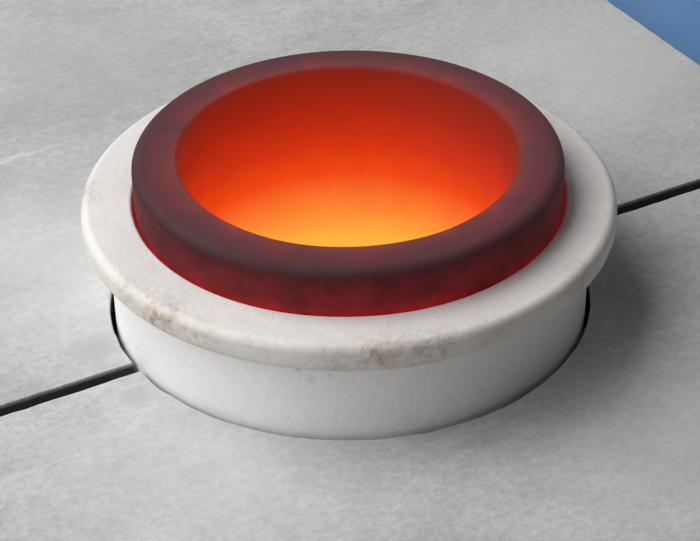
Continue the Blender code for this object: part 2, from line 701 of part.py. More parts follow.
def lead_places():
    # Where the two straight coil leads cross the partition, as Y and Z
    low, high = coil_heights()
    return [(AXIS_Y - coil_radius(), low), (AXIS_Y + coil_radius(), high)]


def lead_end_x():
    return PARTITION_X + SHEET + COIL_LEAD_OUT


def least_self_gap(route, radius, skipped):
    # Room between points of a tube that lie more than the skipped number of points apart
    nearest = min(
        (Vector(here) - Vector(there)).length
        for index, here in enumerate(route)
        for there in route[index + skipped :]
    )
    return nearest - 2 * radius


def make_coil():
    # One unbroken tube: in along a straight lead, round the liner, and out along the other lead
    radius = coil_radius()
    low, high = coil_heights()
    # As many turns as find room, and half a turn more, so that the leads leave on opposite sides
    pitch = 2 * COIL_TUBE_RADIUS + COIL_TURN_CLEARANCE
    half_turns = 2 * math.floor((high - low) / pitch - 1 / 2) + 1
    count = half_turns * COIL_STEPS // 2
    route = [(lead_end_x(), AXIS_Y - radius, low)]
    for step in range(count + 1):
        turn = -math.pi / 2 - half_turns * math.pi * step / count
        height = low + (high - low) * step / count
        route.append((AXIS_X + radius * math.cos(turn), AXIS_Y + radius * math.sin(turn), height))
    route.append((lead_end_x(), AXIS_Y + radius, high))
    tube("induction_coil", route, COIL_TUBE_RADIUS, "copper", 1)
    gap = least_self_gap(route, COIL_TUBE_RADIUS, COIL_STEPS // 2)
    print("coil: least gap between turns", round(gap / MM, 2), "mm")


def make_liner():
    low = Z_TILE_TOP + SEAT_GAP
    height = Z_BOARD - SEAT_GAP - low
    inner = BOARD_HOLE_RADIUS
    outer = inner + LINER_WALL
    profile = [(inner, 0), (outer, 0), (outer, height), (inner, height)]
    liner = turned(profile, PIECE_SIDES * 2, moved(AXIS_X, AXIS_Y, low), closed=True)
    make("coil_liner", liner, "fibre")


def make_coil_posts():
    # Upright insulating posts that hold the turns from outside, on the three sides without leads
    near = coil_radius() + COIL_TUBE_RADIUS / coil_chord_share() + SEAT_GAP
    far = near + COIL_POST_THICKNESS
    half = COIL_POST_WIDTH / 2
    for quarter, side in enumerate(("rear", "left", "front"), start=1):
        place = moved(AXIS_X, AXIS_Y, Z_BLOCK) @ Matrix.Rotation(quarter * math.pi / 2, 4, "Z")
        post = plate(rectangle(near, -half, far, half), Z_PANEL_TOP - Z_BLOCK, place)
        make(side + "_coil_post", post, "phenolic")


def row_heights(sizes, gap_shares):
    # Middles of rows stacked from a panel's top down, with the spare height shared out above them
    spare = Z_PANEL_TOP - Z_BASE - sum(sizes)
    top = Z_PANEL_TOP
    middles = []
    for size, share in zip(sizes, gap_shares):
        top -= share * spare
        middles.append(top - size / 2)
        top -= size
    return middles


def control_places():
    rows = (METER_HEIGHT, 2 * LAMP_BEZEL_RADIUS, 2 * DIAL_RADIUS, ROCKER_FRAME_HEIGHT)
    meter_z, lamp_z, knob_z, rocker_z = row_heights(rows, CONTROL_GAP_SHARES)
    start_z = lamp_z - LAMP_BEZEL_RADIUS - BUTTON_LAMP_CLEARANCE - COLLAR_RADIUS
    return {
        "meter": (CONTROL_X, meter_z),
        "lamps": [(CONTROL_X + LAMP_PITCH * step, lamp_z) for step in (-1, 0, 1)],
        "knob": (CONTROL_X + KNOB_OFFSET, knob_z),
        "start": (CONTROL_X + BUTTON_OFFSET, start_z),
        "stop": (CONTROL_X + BUTTON_OFFSET, start_z - BUTTON_SPACING),
        "rocker": (CONTROL_X + KNOB_OFFSET, rocker_z),
    }


def control_holes():
    # Cut-outs in the front panel, each a clearance larger than what passes through it
    places = control_places()
    meter_width = METER_WIDTH - 2 * METER_RIM + 2 * FIT_GAP
    meter_height = METER_HEIGHT - 2 * METER_RIM + 2 * FIT_GAP
    rocker_width = ROCKER_FRAME_WIDTH - 2 * ROCKER_FRAME_RIM + 2 * FIT_GAP
    rocker_height = ROCKER_FRAME_HEIGHT - 2 * ROCKER_FRAME_RIM + 2 * FIT_GAP
    holes = [centred(*places["meter"], meter_width, meter_height)]
    holes += [circle(*place, LAMP_BODY_RADIUS + FIT_GAP) for place in places["lamps"]]
    holes += [circle(*places["knob"], POT_BUSHING_RADIUS + FIT_GAP)]
    stem_hole = BUTTON_STEM_RADIUS + FIT_GAP
    holes += [circle(*places[name], stem_hole, PIECE_SIDES) for name in ("start", "stop")]
    holes += [centred(*places["rocker"], rocker_width, rocker_height)]
    return holes


def stepped_box(x, z, sections):
    # Rectangles of given width and height at given places along Y, joined in order
    loops = []
    for width, height, y in sections:
        loops.append([(px, y, pz) for px, pz in centred(x, z, width, height)])
    return lofted(loops)


def make_meter():
    x, z = control_places()["meter"]
    body_width = METER_WIDTH - 2 * METER_RIM
    body_height = METER_HEIGHT - 2 * METER_RIM
    seat = Y_FRONT - SEAT_GAP
    face = seat - METER_BEZEL_DEPTH
    sections = [(body_width, body_height, seat + METER_BODY_DEPTH), (body_width, body_height, seat)]
    sections += [(METER_WIDTH, METER_HEIGHT, seat), (METER_WIDTH, METER_HEIGHT, face + METER_RIM)]
    sections += [(body_width, body_height, face)]
    make("meter_case", stepped_box(x, z, sections), "black_plastic")
    front = face - SEAT_GAP
    half_width = METER_WIDTH / 2 - WINDOW_SIDE_INSET
    half_height = METER_HEIGHT / 2 - WINDOW_TOP_INSET
    low = (x - half_width, front - WINDOW_THICKNESS, z - half_height)
    high = (x + half_width, front, z + half_height)
    make("meter_window", box(low, high), "smoked_window")


def make_lamps():
    # Three lamp lenses on one holder: a strip outside the panel with the lamp bodies behind it
    (first_x, z), (middle_x, _), (last_x, _) = control_places()["lamps"]
    seat = Y_FRONT - SEAT_GAP
    radius, depth = LAMP_BEZEL_RADIUS, LAMP_BEZEL_HEIGHT
    quarter = math.pi / 2
    outline = arc(first_x, z, radius, quarter, 3 * quarter, 2 * ARC_STEPS)
    outline += arc(last_x, z, radius, -quarter, quarter, 2 * ARC_STEPS)
    holder = make("lamp_holder", xz_panel(outline, (), seat - depth, depth), "zinc_steel")
    lens = [(0, 0), (LAMP_LENS_RADIUS, 0)]
    for step in range(1, ARC_STEPS):
        turn = quarter * step / ARC_STEPS
        lens.append((LAMP_LENS_RADIUS * math.cos(turn), LAMP_LENS_HEIGHT * math.sin(turn)))
    lens.append((0, LAMP_LENS_HEIGHT))
    body = [(0, -LAMP_BODY_DEPTH), (LAMP_BODY_RADIUS, -LAMP_BODY_DEPTH), (LAMP_BODY_RADIUS, depth / 2)]
    body.append((0, depth / 2))
    for number, (x, finish) in enumerate(
        ((first_x, "green_plastic"), (middle_x, "amber_plastic"), (last_x, "red_plastic"))
    ):
        unite(holder, number, turned(body, SMALL_SIDES, moved(x, seat, z) @ FACING_FRONT))
        front = moved(x, seat - depth - SEAT_GAP, z) @ FACING_FRONT
        make(finish.replace("plastic", "lamp"), turned(lens, SMALL_SIDES, front), finish)


def make_knob():
    x, z = control_places()["knob"]
    bushing_hole = POT_BUSHING_RADIUS + FIT_GAP
    dial_back = Y_FRONT - SEAT_GAP
    dial = plate(
        circle(x, z, DIAL_RADIUS, PIECE_SIDES),
        DIAL_THICKNESS,
        moved(0, dial_back, 0) @ FACING_FRONT,
        [circle(x, z, bushing_hole)],
    )
    make("dial_plate", dial, "dial_face")
    back = Y_FRONT + SHEET + SEAT_GAP
    through = back - dial_back + DIAL_THICKNESS
    pot = [(0, -POT_BODY_DEPTH), (POT_BODY_RADIUS, -POT_BODY_DEPTH), (POT_BODY_RADIUS, 0)]
    pot += [(POT_BUSHING_RADIUS, 0), (POT_BUSHING_RADIUS, through), (0, through)]
    make("potentiometer", turned(pot, PIECE_SIDES, moved(x, back, z) @ FACING_FRONT), "zinc_steel")
    seat = dial_back - DIAL_THICKNESS - SEAT_GAP
    place = moved(x, seat, z) @ FACING_FRONT @ Matrix.Rotation(KNOB_START_ANGLE, 4, "Z")
    flute = KNOB_FLUTE_DEPTH
    crown = KNOB_CROWN_ROUND
    levels = [(KNOB_SKIRT_RADIUS, 0, 0), (KNOB_SKIRT_RADIUS, 0, KNOB_SKIRT_HEIGHT)]
    levels += [(KNOB_GRIP_RADIUS, flute, KNOB_SKIRT_HEIGHT + crown)]
    levels += [(KNOB_GRIP_RADIUS, flute, KNOB_HEIGHT - crown), (KNOB_GRIP_RADIUS - crown, 0, KNOB_HEIGHT)]
    loops = []
    for radius, depth, height in levels:
        ring = circle(0, 0, radius, PIECE_SIDES)
        shares = [1 - depth / radius * (index % 2) for index in range(PIECE_SIDES)]
        loops.append([(px * share, py * share, height) for (px, py), share in zip(ring, shares)])
    make("power_knob", lofted(loops, place), "black_plastic", (x, seat, z))


def make_buttons():
    collar_inner = BUTTON_STEM_RADIUS + FIT_GAP
    edge = BUTTON_EDGE_ROUND
    ring = [(collar_inner, 0), (COLLAR_RADIUS, 0), (COLLAR_RADIUS, COLLAR_HEIGHT - edge)]
    ring += [(COLLAR_RADIUS - edge, COLLAR_HEIGHT), (collar_inner, COLLAR_HEIGHT)]
    stem_back = -(SHEET + BUTTON_STEM_DEPTH)
    stem = [(0, stem_back), (BUTTON_STEM_RADIUS, stem_back)]
    start_top = COLLAR_HEIGHT + START_PROUD
    start = stem + [(BUTTON_STEM_RADIUS, start_top - edge), (BUTTON_STEM_RADIUS - edge, start_top)]
    start += [(0, start_top)]
    head_back = COLLAR_HEIGHT + BUTTON_TRAVEL + CONTACT_CLEARANCE
    head_top = head_back + STOP_HEAD_HEIGHT
    stop = stem + [(BUTTON_STEM_RADIUS, head_back), (STOP_HEAD_RADIUS - edge, head_back)]
    stop += [(STOP_HEAD_RADIUS, head_back + edge), (STOP_HEAD_RADIUS - edge, head_top - edge)]
    stop += [(0, head_top)]
    seat = Y_FRONT - SEAT_GAP
    for name, profile, finish in (("start", start, "green_plastic"), ("stop", stop, "red_plastic")):
        x, z = control_places()[name]
        place = moved(x, seat, z) @ FACING_FRONT
        make(name + "_button", turned(profile, PIECE_SIDES, place), finish, (x, seat, z))
        make(name + "_collar", turned(ring, PIECE_SIDES, place, closed=True), "zinc_steel")
        make(name + "_switch", contact_block(x, z, seat - stem_back), "black_plastic")


def contact_block(x, z, stem_end):
    # A switch behind the panel, with a well that takes the button's stem and its travel
    near = Y_FRONT + SHEET + SEAT_GAP
    floor = stem_end + BUTTON_TRAVEL + CONTACT_CLEARANCE
    half = BUTTON_STEM_RADIUS + CONTACT_WALL
    well = BUTTON_STEM_RADIUS + FIT_GAP
    outer = circle(x, z, half * math.sqrt(2), 4 * ARC_STEPS)
    square = [(min(max(px, x - half), x + half), min(max(pz, z - half), z + half)) for px, pz in outer]
    inner = circle(x, z, well, 4 * ARC_STEPS)
    stages = ((square, near + CONTACT_DEPTH), (square, near), (inner, near), (inner, floor))
    return lofted([[(px, y, pz) for px, pz in loop] for loop, y in stages])


def make_rocker():
    x, z = control_places()["rocker"]
    inner_width = ROCKER_FRAME_WIDTH - 2 * ROCKER_FRAME_RIM
    inner_height = ROCKER_FRAME_HEIGHT - 2 * ROCKER_FRAME_RIM
    wall = ROCKER_FRAME_RIM / 2
    well_width = inner_width - 2 * wall
    well_height = inner_height - wall / 2
    seat = Y_FRONT - SEAT_GAP
    face = seat - ROCKER_FRAME_PROUD
    well_floor = face + ROCKER_WELL_DEPTH
    sections = [(inner_width, inner_height, seat + ROCKER_BODY_DEPTH), (inner_width, inner_height, seat)]
    sections += [(ROCKER_FRAME_WIDTH, ROCKER_FRAME_HEIGHT, seat)]
    sections += [(ROCKER_FRAME_WIDTH, ROCKER_FRAME_HEIGHT, face)]
    sections += [(well_width, well_height, face), (well_width, well_height, well_floor)]
    make("rocker_frame", stepped_box(x, z, sections), "black_plastic")
    pivot = (x, face + ROCKER_PIVOT_DEPTH, z)
    length = ROCKER_HALF_LENGTH
    outline = [(length, ROCKER_END_PROUD), (0, ROCKER_MIDDLE_PROUD), (-length, ROCKER_END_PROUD)]
    outline += arc(0, 0, ROCKER_BACK_DEPTH, math.pi, 2 * math.pi, 2 * ARC_STEPS)
    width = well_width - 2 * FIT_GAP
    drawn = plate(outline, width)
    drawn.transform(moved(*pivot) @ Matrix.Rotation(-ROCKER_TILT, 4, "X") @ rocker_turn(width))
    make("power_rocker", drawn, "red_plastic", pivot)


def rocker_turn(width):
    # Drawn X becomes up, drawn Y becomes towards the user, and drawn Z runs across the switch
    across = Matrix(((0, 0, 1, 0), (0, -1, 0, 0), (1, 0, 0, 0), (0, 0, 0, 1)))
    return moved(-width / 2, 0, 0) @ across


def rear_heights():
    # Middles of the fan, of the gland with the nipples beside it, and of the earth stud
    rows = (FAN_SIZE, 2 * GLAND_NUT_RADIUS, 2 * EARTH_WASHER_RADIUS)
    return row_heights(rows, REAR_GAP_SHARES)


def fan_place():
    return CONTROL_X, rear_heights()[0]


def fan_screw_places():
    x, z = fan_place()
    return centred(x, z, FAN_HOLE_SPACING, FAN_HOLE_SPACING)


def fan_screw_holes():
    return [circle(x, z, FAN_SCREW_RADIUS + FIT_GAP, SCREW_SIDES) for x, z in fan_screw_places()]


def spider(radius, reach, half_width):
    # A disc with four arms, drawn round its middle
    spread = math.asin(half_width / radius)
    outline = []
    for quarter in range(4):
        middle = quarter * math.pi / 2
        turn = Matrix.Rotation(middle, 2)
        tip = [turn @ Vector((reach, side * half_width)) for side in (-1, 1)]
        outline += [(point.x, point.y) for point in tip]
        outline += arc(0, 0, radius, middle + spread, middle + math.pi / 2 - spread, ARC_STEPS)
    return outline


def make_fan():
    x, z = fan_place()
    outer_y = Y_INNER_REAR
    inner_y = outer_y - FAN_DEPTH
    bore = circle(x, z, FAN_BORE_RADIUS, PIECE_SIDES * 2)
    square = centred(x, z, FAN_SIZE, FAN_SIZE)
    frame = xz_panel(square, [bore, *fan_screw_holes()], inner_y, FAN_DEPTH)
    fan_frame = make("fan_frame", frame, "black_plastic")
    reach = FAN_BORE_RADIUS + CUT_OVERRUN
    outline = spider(FAN_BOSS_RADIUS, reach, FAN_STRUT_WIDTH / 2)
    middle = moved(x, inner_y + FAN_STRUT_DEPTH, z) @ FACING_FRONT
    unite(fan_frame, 0, plate(outline, FAN_STRUT_DEPTH, middle))
    make_rotor(x, inner_y + FAN_STRUT_DEPTH + SEAT_GAP, z, outer_y - FAN_ROTOR_INSET)


def make_rotor(x, back, z, front):
    # A hub with slanted blades, spinning about an axis along Y
    length = front - back
    hub = FAN_BOSS_RADIUS + FIT_GAP
    edge = FAN_HUB_ROUND
    profile = [(0, 0), (hub, 0), (hub, length - edge), (hub - edge, length), (0, length)]
    place = moved(x, back, z) @ FACING_REAR
    origin = (x, back, z)
    rotor = make("fan_rotor", turned(profile, PIECE_SIDES, place), "black_plastic", origin)
    tip = FAN_BORE_RADIUS - FAN_TIP_CLEARANCE
    root = hub - CUT_OVERRUN
    half_chord, half_thick = FAN_BLADE_CHORD / 2, FAN_BLADE_THICKNESS / 2
    for index in range(FAN_BLADE_COUNT):
        blade = box((root, -half_chord, -half_thick), (tip, half_chord, half_thick))
        spin = Matrix.Rotation(2 * math.pi * index / FAN_BLADE_COUNT, 4, "Z")
        tilt = Matrix.Rotation(FAN_BLADE_PITCH, 4, "X")
        blade.transform(place @ spin @ moved(0, 0, length / 2) @ tilt)
        unite(rotor, index, blade)


def make_fan_guard():
    # A stamped finger guard with rings of slots
    x, z = fan_place()
    ring_step = (FAN_BORE_RADIUS - GUARD_CENTRE_RADIUS) / GUARD_RING_COUNT
    slots = []
    for ring in range(GUARD_RING_COUNT):
        low = GUARD_CENTRE_RADIUS + ring * ring_step
        high = low + ring_step - GUARD_BAR
        for quarter in range(4):
            middle = math.pi / 4 + quarter * math.pi / 2
            low_spread = math.pi / 4 - math.asin(GUARD_BAR / 2 / low)
            high_spread = math.pi / 4 - math.asin(GUARD_BAR / 2 / high)
            inside = arc(x, z, low, middle - low_spread, middle + low_spread, ARC_STEPS)
            outside = arc(x, z, high, middle + high_spread, middle - high_spread, ARC_STEPS)
            slots.append(inside + outside)
    square = centred(x, z, FAN_SIZE, FAN_SIZE)
    guard_y = Y_REAR + SEAT_GAP
    guard = xz_panel(square, [*slots, *fan_screw_holes()], guard_y, GUARD_THICKNESS)
    make("fan_guard", guard, "zinc_steel")


def nipple_places():
    return {"water_inlet": CONTROL_X + NIPPLE_OFFSET, "water_outlet": CONTROL_X - NIPPLE_OFFSET}


def rear_fitting_holes():
    holes = [circle(*fan_place(), FAN_BORE_RADIUS, PIECE_SIDES), *fan_screw_holes()]
    _, gland_z, earth_z = rear_heights()
    holes += [circle(x, gland_z, NIPPLE_THREAD_RADIUS + FIT_GAP) for x in nipple_places().values()]
    holes += [circle(CONTROL_X, gland_z, GLAND_THREAD_RADIUS + FIT_GAP)]
    holes += [circle(CONTROL_X, earth_z, EARTH_STUD_RADIUS + FIT_GAP)]
    return holes


def make_nipples():
    # Brass hose tails through the rear panel, with barbs outside and a plain tail inside
    nut, thread = NIPPLE_NUT_RADIUS, NIPPLE_THREAD_RADIUS
    nut_back = -(SHEET + SEAT_GAP)
    profile = [(0, -SHEET - NIPPLE_INNER_REACH), (NIPPLE_TAIL_RADIUS, -SHEET - NIPPLE_INNER_REACH)]
    profile += [(NIPPLE_TAIL_RADIUS, nut_back - NIPPLE_NUT_HEIGHT), (nut, nut_back - NIPPLE_NUT_HEIGHT)]
    profile += [(nut, nut_back), (thread, nut_back), (thread, SEAT_GAP), (nut, SEAT_GAP)]
    profile += [(nut, SEAT_GAP + NIPPLE_NUT_HEIGHT)]
    barbs_start = SEAT_GAP + NIPPLE_NUT_HEIGHT
    barb_step = (NIPPLE_REACH - barbs_start) / NIPPLE_BARB_COUNT
    for barb in range(NIPPLE_BARB_COUNT):
        low = barbs_start + barb * barb_step
        profile += [(NIPPLE_BARB_RADIUS, low + barb_step / 4), (NIPPLE_TAIL_RADIUS, low + barb_step)]
    profile += [(NIPPLE_BORE_RADIUS, NIPPLE_REACH), (NIPPLE_BORE_RADIUS, NIPPLE_REACH - NIPPLE_BORE_DEPTH)]
    profile += [(0, NIPPLE_REACH - NIPPLE_BORE_DEPTH)]
    for name, x in nipple_places().items():
        place = moved(x, Y_REAR, rear_heights()[1]) @ FACING_REAR
        make(name, turned(profile, SMALL_SIDES, place), "brass")


def make_gland():
    nut_back = -(SHEET + SEAT_GAP)
    nut, thread, dome = GLAND_NUT_RADIUS, GLAND_THREAD_RADIUS, GLAND_DOME_RADIUS
    top = SEAT_GAP + GLAND_NUT_HEIGHT + GLAND_DOME_HEIGHT
    profile = [(GLAND_BORE_RADIUS, -GLAND_INNER_REACH - SHEET), (thread, -GLAND_INNER_REACH - SHEET)]
    profile += [(thread, nut_back - GLAND_NUT_HEIGHT), (nut, nut_back - GLAND_NUT_HEIGHT), (nut, nut_back)]
    profile += [(thread, nut_back), (thread, SEAT_GAP), (nut, SEAT_GAP), (nut, SEAT_GAP + GLAND_NUT_HEIGHT)]
    profile += [(dome, SEAT_GAP + GLAND_NUT_HEIGHT), (dome, top - GLAND_DOME_HEIGHT / 3)]
    profile += [((dome + GLAND_BORE_RADIUS) / 2, top), (GLAND_BORE_RADIUS, top)]
    place = moved(CONTROL_X, Y_REAR, rear_heights()[1]) @ FACING_REAR
    make("cable_gland", turned(profile, SMALL_SIDES, place, closed=True), "black_plastic")


def make_earth_stud():
    nut_back = -(SHEET + SEAT_GAP)
    stud, washer, nut = EARTH_STUD_RADIUS, EARTH_WASHER_RADIUS, EARTH_NUT_RADIUS
    washer_top = SEAT_GAP + EARTH_WASHER_THICKNESS
    profile = [(0, nut_back - EARTH_NUT_HEIGHT), (nut, nut_back - EARTH_NUT_HEIGHT), (nut, nut_back)]
    profile += [(stud, nut_back), (stud, SEAT_GAP), (washer, SEAT_GAP), (washer, washer_top)]
    profile += [(nut, washer_top), (nut, washer_top + EARTH_NUT_HEIGHT)]
    profile += [(stud, washer_top + EARTH_NUT_HEIGHT), (stud, EARTH_REACH), (0, EARTH_REACH)]
    place = moved(CONTROL_X, Y_REAR, rear_heights()[2]) @ FACING_REAR
    make("earth_stud", turned(profile, SMALL_SIDES, place), "brass")


def hose_outer_x():
    # Where the supply hose passes the capacitor, along the right panel
    return X_INNER_RIGHT - HOSE_WALL_CLEARANCE - HOSE_RADIUS


def capacitor_box():
    # The tuning capacitor stands against the bus plates, between the hoses
    low_x = lead_end_x() + 2 * SEAT_GAP + BUS_THICKNESS
    high_x = hose_outer_x() - HOSE_RADIUS - CAPACITOR_HOSE_CLEARANCE
    half = coil_radius() - HOSE_RADIUS - CAPACITOR_LEAD_CLEARANCE
    return (low_x, AXIS_Y - half, Z_BLOCK), (high_x, AXIS_Y + half, Z_BLOCK + CAPACITOR_HEIGHT)


def make_bus_plates():
    # Each plate runs from one coil lead to its own end of the capacitor
    near = lead_end_x() + SEAT_GAP
    (front_y, low_z), (rear_y, high_z) = lead_places()
    reach = COIL_TUBE_RADIUS + BUS_OVERHANG / 2
    front = rectangle(front_y - reach, low_z - reach, AXIS_Y - BUS_OVERHANG, low_z + reach)
    bottom = Z_BLOCK + CAPACITOR_HEIGHT - BUS_LAP
    rear = rectangle(AXIS_Y + BUS_OVERHANG, bottom, rear_y + reach, high_z + COIL_TUBE_RADIUS)
    make("front_bus_plate", yz_panel(front, (), near, BUS_THICKNESS), "copper")
    make("rear_bus_plate", yz_panel(rear, (), near, BUS_THICKNESS), "copper")


def make_inverter():
    # Heat sink on the base, power modules on it, and a circuit card above them
    rear = Y_INNER_REAR - SINK_REAR_GAP
    front = capacitor_box()[1][1] + SINK_CAPACITOR_CLEARANCE
    left = PARTITION_X + SHEET + SINK_FROM_PARTITION
    right = left + SINK_WIDTH
    slab_low = Z_BLOCK + SINK_FIN_HEIGHT
    slab_top = slab_low + SINK_SLAB
    step = (SINK_WIDTH - SINK_FIN_THICKNESS) / (SINK_FIN_COUNT - 1)
    outline = [(left, slab_top), (right, slab_top)]
    for index in reversed(range(SINK_FIN_COUNT)):
        fin = left + index * step
        outline += [(fin + SINK_FIN_THICKNESS, slab_low), (fin + SINK_FIN_THICKNESS, Z_BLOCK)]
        outline += [(fin, Z_BLOCK), (fin, slab_low)]
    # The slab's own corners coincide with the outermost fins' top corners
    outline = [point for index, point in enumerate(outline) if index not in (2, len(outline) - 1)]
    make("heat_sink", xz_panel(outline, (), front, rear - front), "aluminium")
    module_low = slab_top + SEAT_GAP
    module_top = module_low + MODULE_HEIGHT
    low = (left + MODULE_SIDE_INSET, front + MODULE_END_INSET, module_low)
    high = (right - MODULE_SIDE_INSET, rear - MODULE_END_INSET, module_top)
    make("power_module", box(low, high), "black_plastic")
    card_low = module_top + SEAT_GAP
    card = box((left, front, card_low), (right, rear, card_low + CARD_THICKNESS))
    make("inverter_card", card, "circuit_card")


def make_hoses():
    # Cooling water runs in at the coil's low lead and out at its high one
    (front_y, low_z), (rear_y, high_z) = lead_places()
    start_x = lead_end_x() + 2 * SEAT_GAP + BUS_THICKNESS
    end_y = Y_REAR - SHEET - NIPPLE_INNER_REACH - SEAT_GAP
    end_z = rear_heights()[1]
    places = nipple_places()
    outer_x = hose_outer_x()
    bend = HOSE_BEND
    clear_y = front_y - bend / 2
    supply = [(start_x, front_y, low_z), (start_x + bend / 2, front_y, low_z)]
    supply += [(outer_x - bend, clear_y, low_z), (outer_x, front_y + bend / 2, low_z)]
    supply += [(outer_x, AXIS_Y, (low_z + end_z) / 2), (outer_x, rear_y, end_z)]
    inlet_x, outlet_x = places["water_inlet"], places["water_outlet"]
    supply += [(inlet_x, end_y - bend / 2, end_z), (inlet_x, end_y, end_z)]
    tube("supply_hose", smooth_route(supply, ARC_STEPS), HOSE_RADIUS, "hose_rubber", 2)
    back = [(start_x, rear_y, high_z), (start_x + bend / 2, rear_y, high_z)]
    back += [(start_x + bend, rear_y + bend / 2, high_z - bend / 4)]
    back += [(outlet_x, end_y - bend * 2, (high_z + end_z) / 2 + bend / 2)]
    back += [(outlet_x, end_y - bend / 3, end_z), (outlet_x, end_y, end_z)]
    tube("return_hose", smooth_route(back, ARC_STEPS), HOSE_RADIUS, "hose_rubber", 2)


clear_scene()
make_crucible()
make_sleeve()
make_boards()
make_top_frame()
make_cabinet()
make_feet()
make_handles()
make_hearth()
make_coil()
make_liner()
make_coil_posts()
make_meter()
make_lamps()
make_knob()
make_buttons()
make_rocker()
make_fan()
make_fan_guard()
make_nipples()
make_gland()
make_earth_stud()
make("tuning_capacitor", box(*capacitor_box()), "amber_plastic")
make_bus_plates()
make_inverter()
make_hoses()
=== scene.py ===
import json
import math

import bmesh
import bpy
from mathutils import Matrix, Quaternion, Vector, noise

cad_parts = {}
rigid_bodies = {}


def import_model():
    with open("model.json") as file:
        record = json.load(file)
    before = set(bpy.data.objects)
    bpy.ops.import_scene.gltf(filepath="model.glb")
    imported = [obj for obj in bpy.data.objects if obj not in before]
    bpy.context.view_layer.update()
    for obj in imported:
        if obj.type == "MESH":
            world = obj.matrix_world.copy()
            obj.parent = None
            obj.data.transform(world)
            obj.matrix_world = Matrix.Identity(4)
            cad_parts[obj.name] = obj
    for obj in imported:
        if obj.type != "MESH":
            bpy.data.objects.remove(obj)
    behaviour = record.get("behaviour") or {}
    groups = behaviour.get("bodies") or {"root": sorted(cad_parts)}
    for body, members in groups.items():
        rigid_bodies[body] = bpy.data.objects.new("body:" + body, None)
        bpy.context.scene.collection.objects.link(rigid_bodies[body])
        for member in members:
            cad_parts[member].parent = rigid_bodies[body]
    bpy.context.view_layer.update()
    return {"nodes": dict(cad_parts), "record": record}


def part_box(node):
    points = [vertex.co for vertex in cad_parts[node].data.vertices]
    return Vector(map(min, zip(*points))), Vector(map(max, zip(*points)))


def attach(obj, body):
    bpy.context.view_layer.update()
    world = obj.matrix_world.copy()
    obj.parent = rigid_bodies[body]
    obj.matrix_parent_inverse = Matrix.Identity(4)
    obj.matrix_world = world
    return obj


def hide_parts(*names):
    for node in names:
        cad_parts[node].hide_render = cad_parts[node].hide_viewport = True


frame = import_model()

# Bench-top furnace for melting gold: fine shapes and finishes, then the floor, the light and the camera
mm = 0.001
scene = bpy.context.scene
cadNodes = frame["nodes"]
record = frame["record"]
bodyOf = {node: body for body, members in record["behaviour"]["bodies"].items() for node in members}
slotOf = {part["node"]: part["material_slot"] for part in record["subparts"]}

rimLow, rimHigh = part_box("crucible")
flangeLow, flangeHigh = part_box("sleeve")
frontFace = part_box("front_panel")[0].y
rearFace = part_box("rear_panel")[1].y
axis = Vector(((rimLow.x + rimHigh.x) / 2, (rimLow.y + rimHigh.y) / 2, 0))
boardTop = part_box("front_board")[1].z
seamLine = (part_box("front_board")[1].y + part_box("rear_board")[0].y) / 2
seatGap = 0.3      # what touching pieces keep between them, in millimetres
print("frame loaded:", len(cadNodes), "nodes")

# Which way a piece faces that was drawn with its front along Z
upright = Matrix.Rotation(math.pi / 2, 4, "X")
facing = {
    "up": Matrix.Identity(4),
    "front": upright,
    "rear": Matrix.Rotation(math.pi, 4, "Z") @ upright,
    "left": Matrix.Rotation(-math.pi / 2, 4, "Z") @ upright,
    "right": Matrix.Rotation(math.pi / 2, 4, "Z") @ upright,
}


# Numbers and colours
def toLinear(channel):
    share = channel / 255
    return share / 12.92 if share <= 0.04045 else ((share + 0.055) / 1.055) ** 2.4


def shade(red, green, blue):
    return (toLinear(red), toLinear(green), toLinear(blue), 1)


# Shader nodes
def put(tree, kind, sockets=None, **settings):
    made = tree.nodes.new("ShaderNode" + kind)
    for name, value in settings.items():
        setattr(made, name, value)
    for key, value in (sockets or {}).items():
        if isinstance(value, bpy.types.NodeSocket):
            tree.links.new(value, made.inputs[key])
        else:
            made.inputs[key].default_value = value
    return made


def maths(tree, operation, first, second=0.0):
    return put(tree, "Math", {0: first, 1: second}, operation=operation).outputs[0]


def times(tree, first, *others):
    for other in others:
        first = maths(tree, "MULTIPLY", first, other)
    return first


def mixed(tree, share, first, second, mode="MIX"):
    return put(tree, "Mix", {0: share, 6: first, 7: second}, data_type="RGBA", blend_type=mode).outputs[2]


def tinted(tree, tone, level):
    # Lightens and darkens a colour by a level around 1
    return mixed(tree, 1.0, tone, level, "MULTIPLY")


def spread(tree, value, low, high, toLow=0.0, toHigh=1.0):
    return put(tree, "MapRange", {0: value, 1: low, 2: high, 3: toLow, 4: toHigh}).outputs[0]


def eased(tree, value, low, high):
    return put(tree, "MapRange", {0: value, 1: low, 2: high}, interpolation_type="SMOOTHSTEP").outputs[0]


def grain(tree, place, size, detail=2.0, rough=0.5, warp=0.0):
    # Noise whose blotches are about this many millimetres across
    sockets = {"Vector": place, "Scale": 1 / (size * mm), "Detail": detail, "Roughness": rough}
    return put(tree, "TexNoise", {**sockets, "Distortion": warp}).outputs[0]


def stretched(tree, place, x, y, z, turn=0.0):
    # A texture comes out this many times longer along each axis, turned by some degrees round Z
    sockets = {"Vector": place, "Scale": (1 / x, 1 / y, 1 / z), "Rotation": (0, 0, math.radians(turn))}
    return put(tree, "Mapping", sockets).outputs[0]


def ramp(tree, value, stops):
    made = put(tree, "ValToRGB", {0: value})
    points = made.color_ramp.elements
    points[0].position, points[0].color = stops[0]
    points[1].position, points[1].color = stops[-1]
    for position, tone in stops[1:-1]:
        points.new(position).color = tone
    return made.outputs[0]


def relief(tree, layers):
    # Bump from pairs of a texture and its height in millimetres
    total = 0.0
    for value, height in layers:
        total = maths(tree, "ADD", times(tree, value, height * mm), total)
    return put(tree, "Bump", {"Strength": 1.0, "Distance": 1.0, "Height": total}).outputs[0]


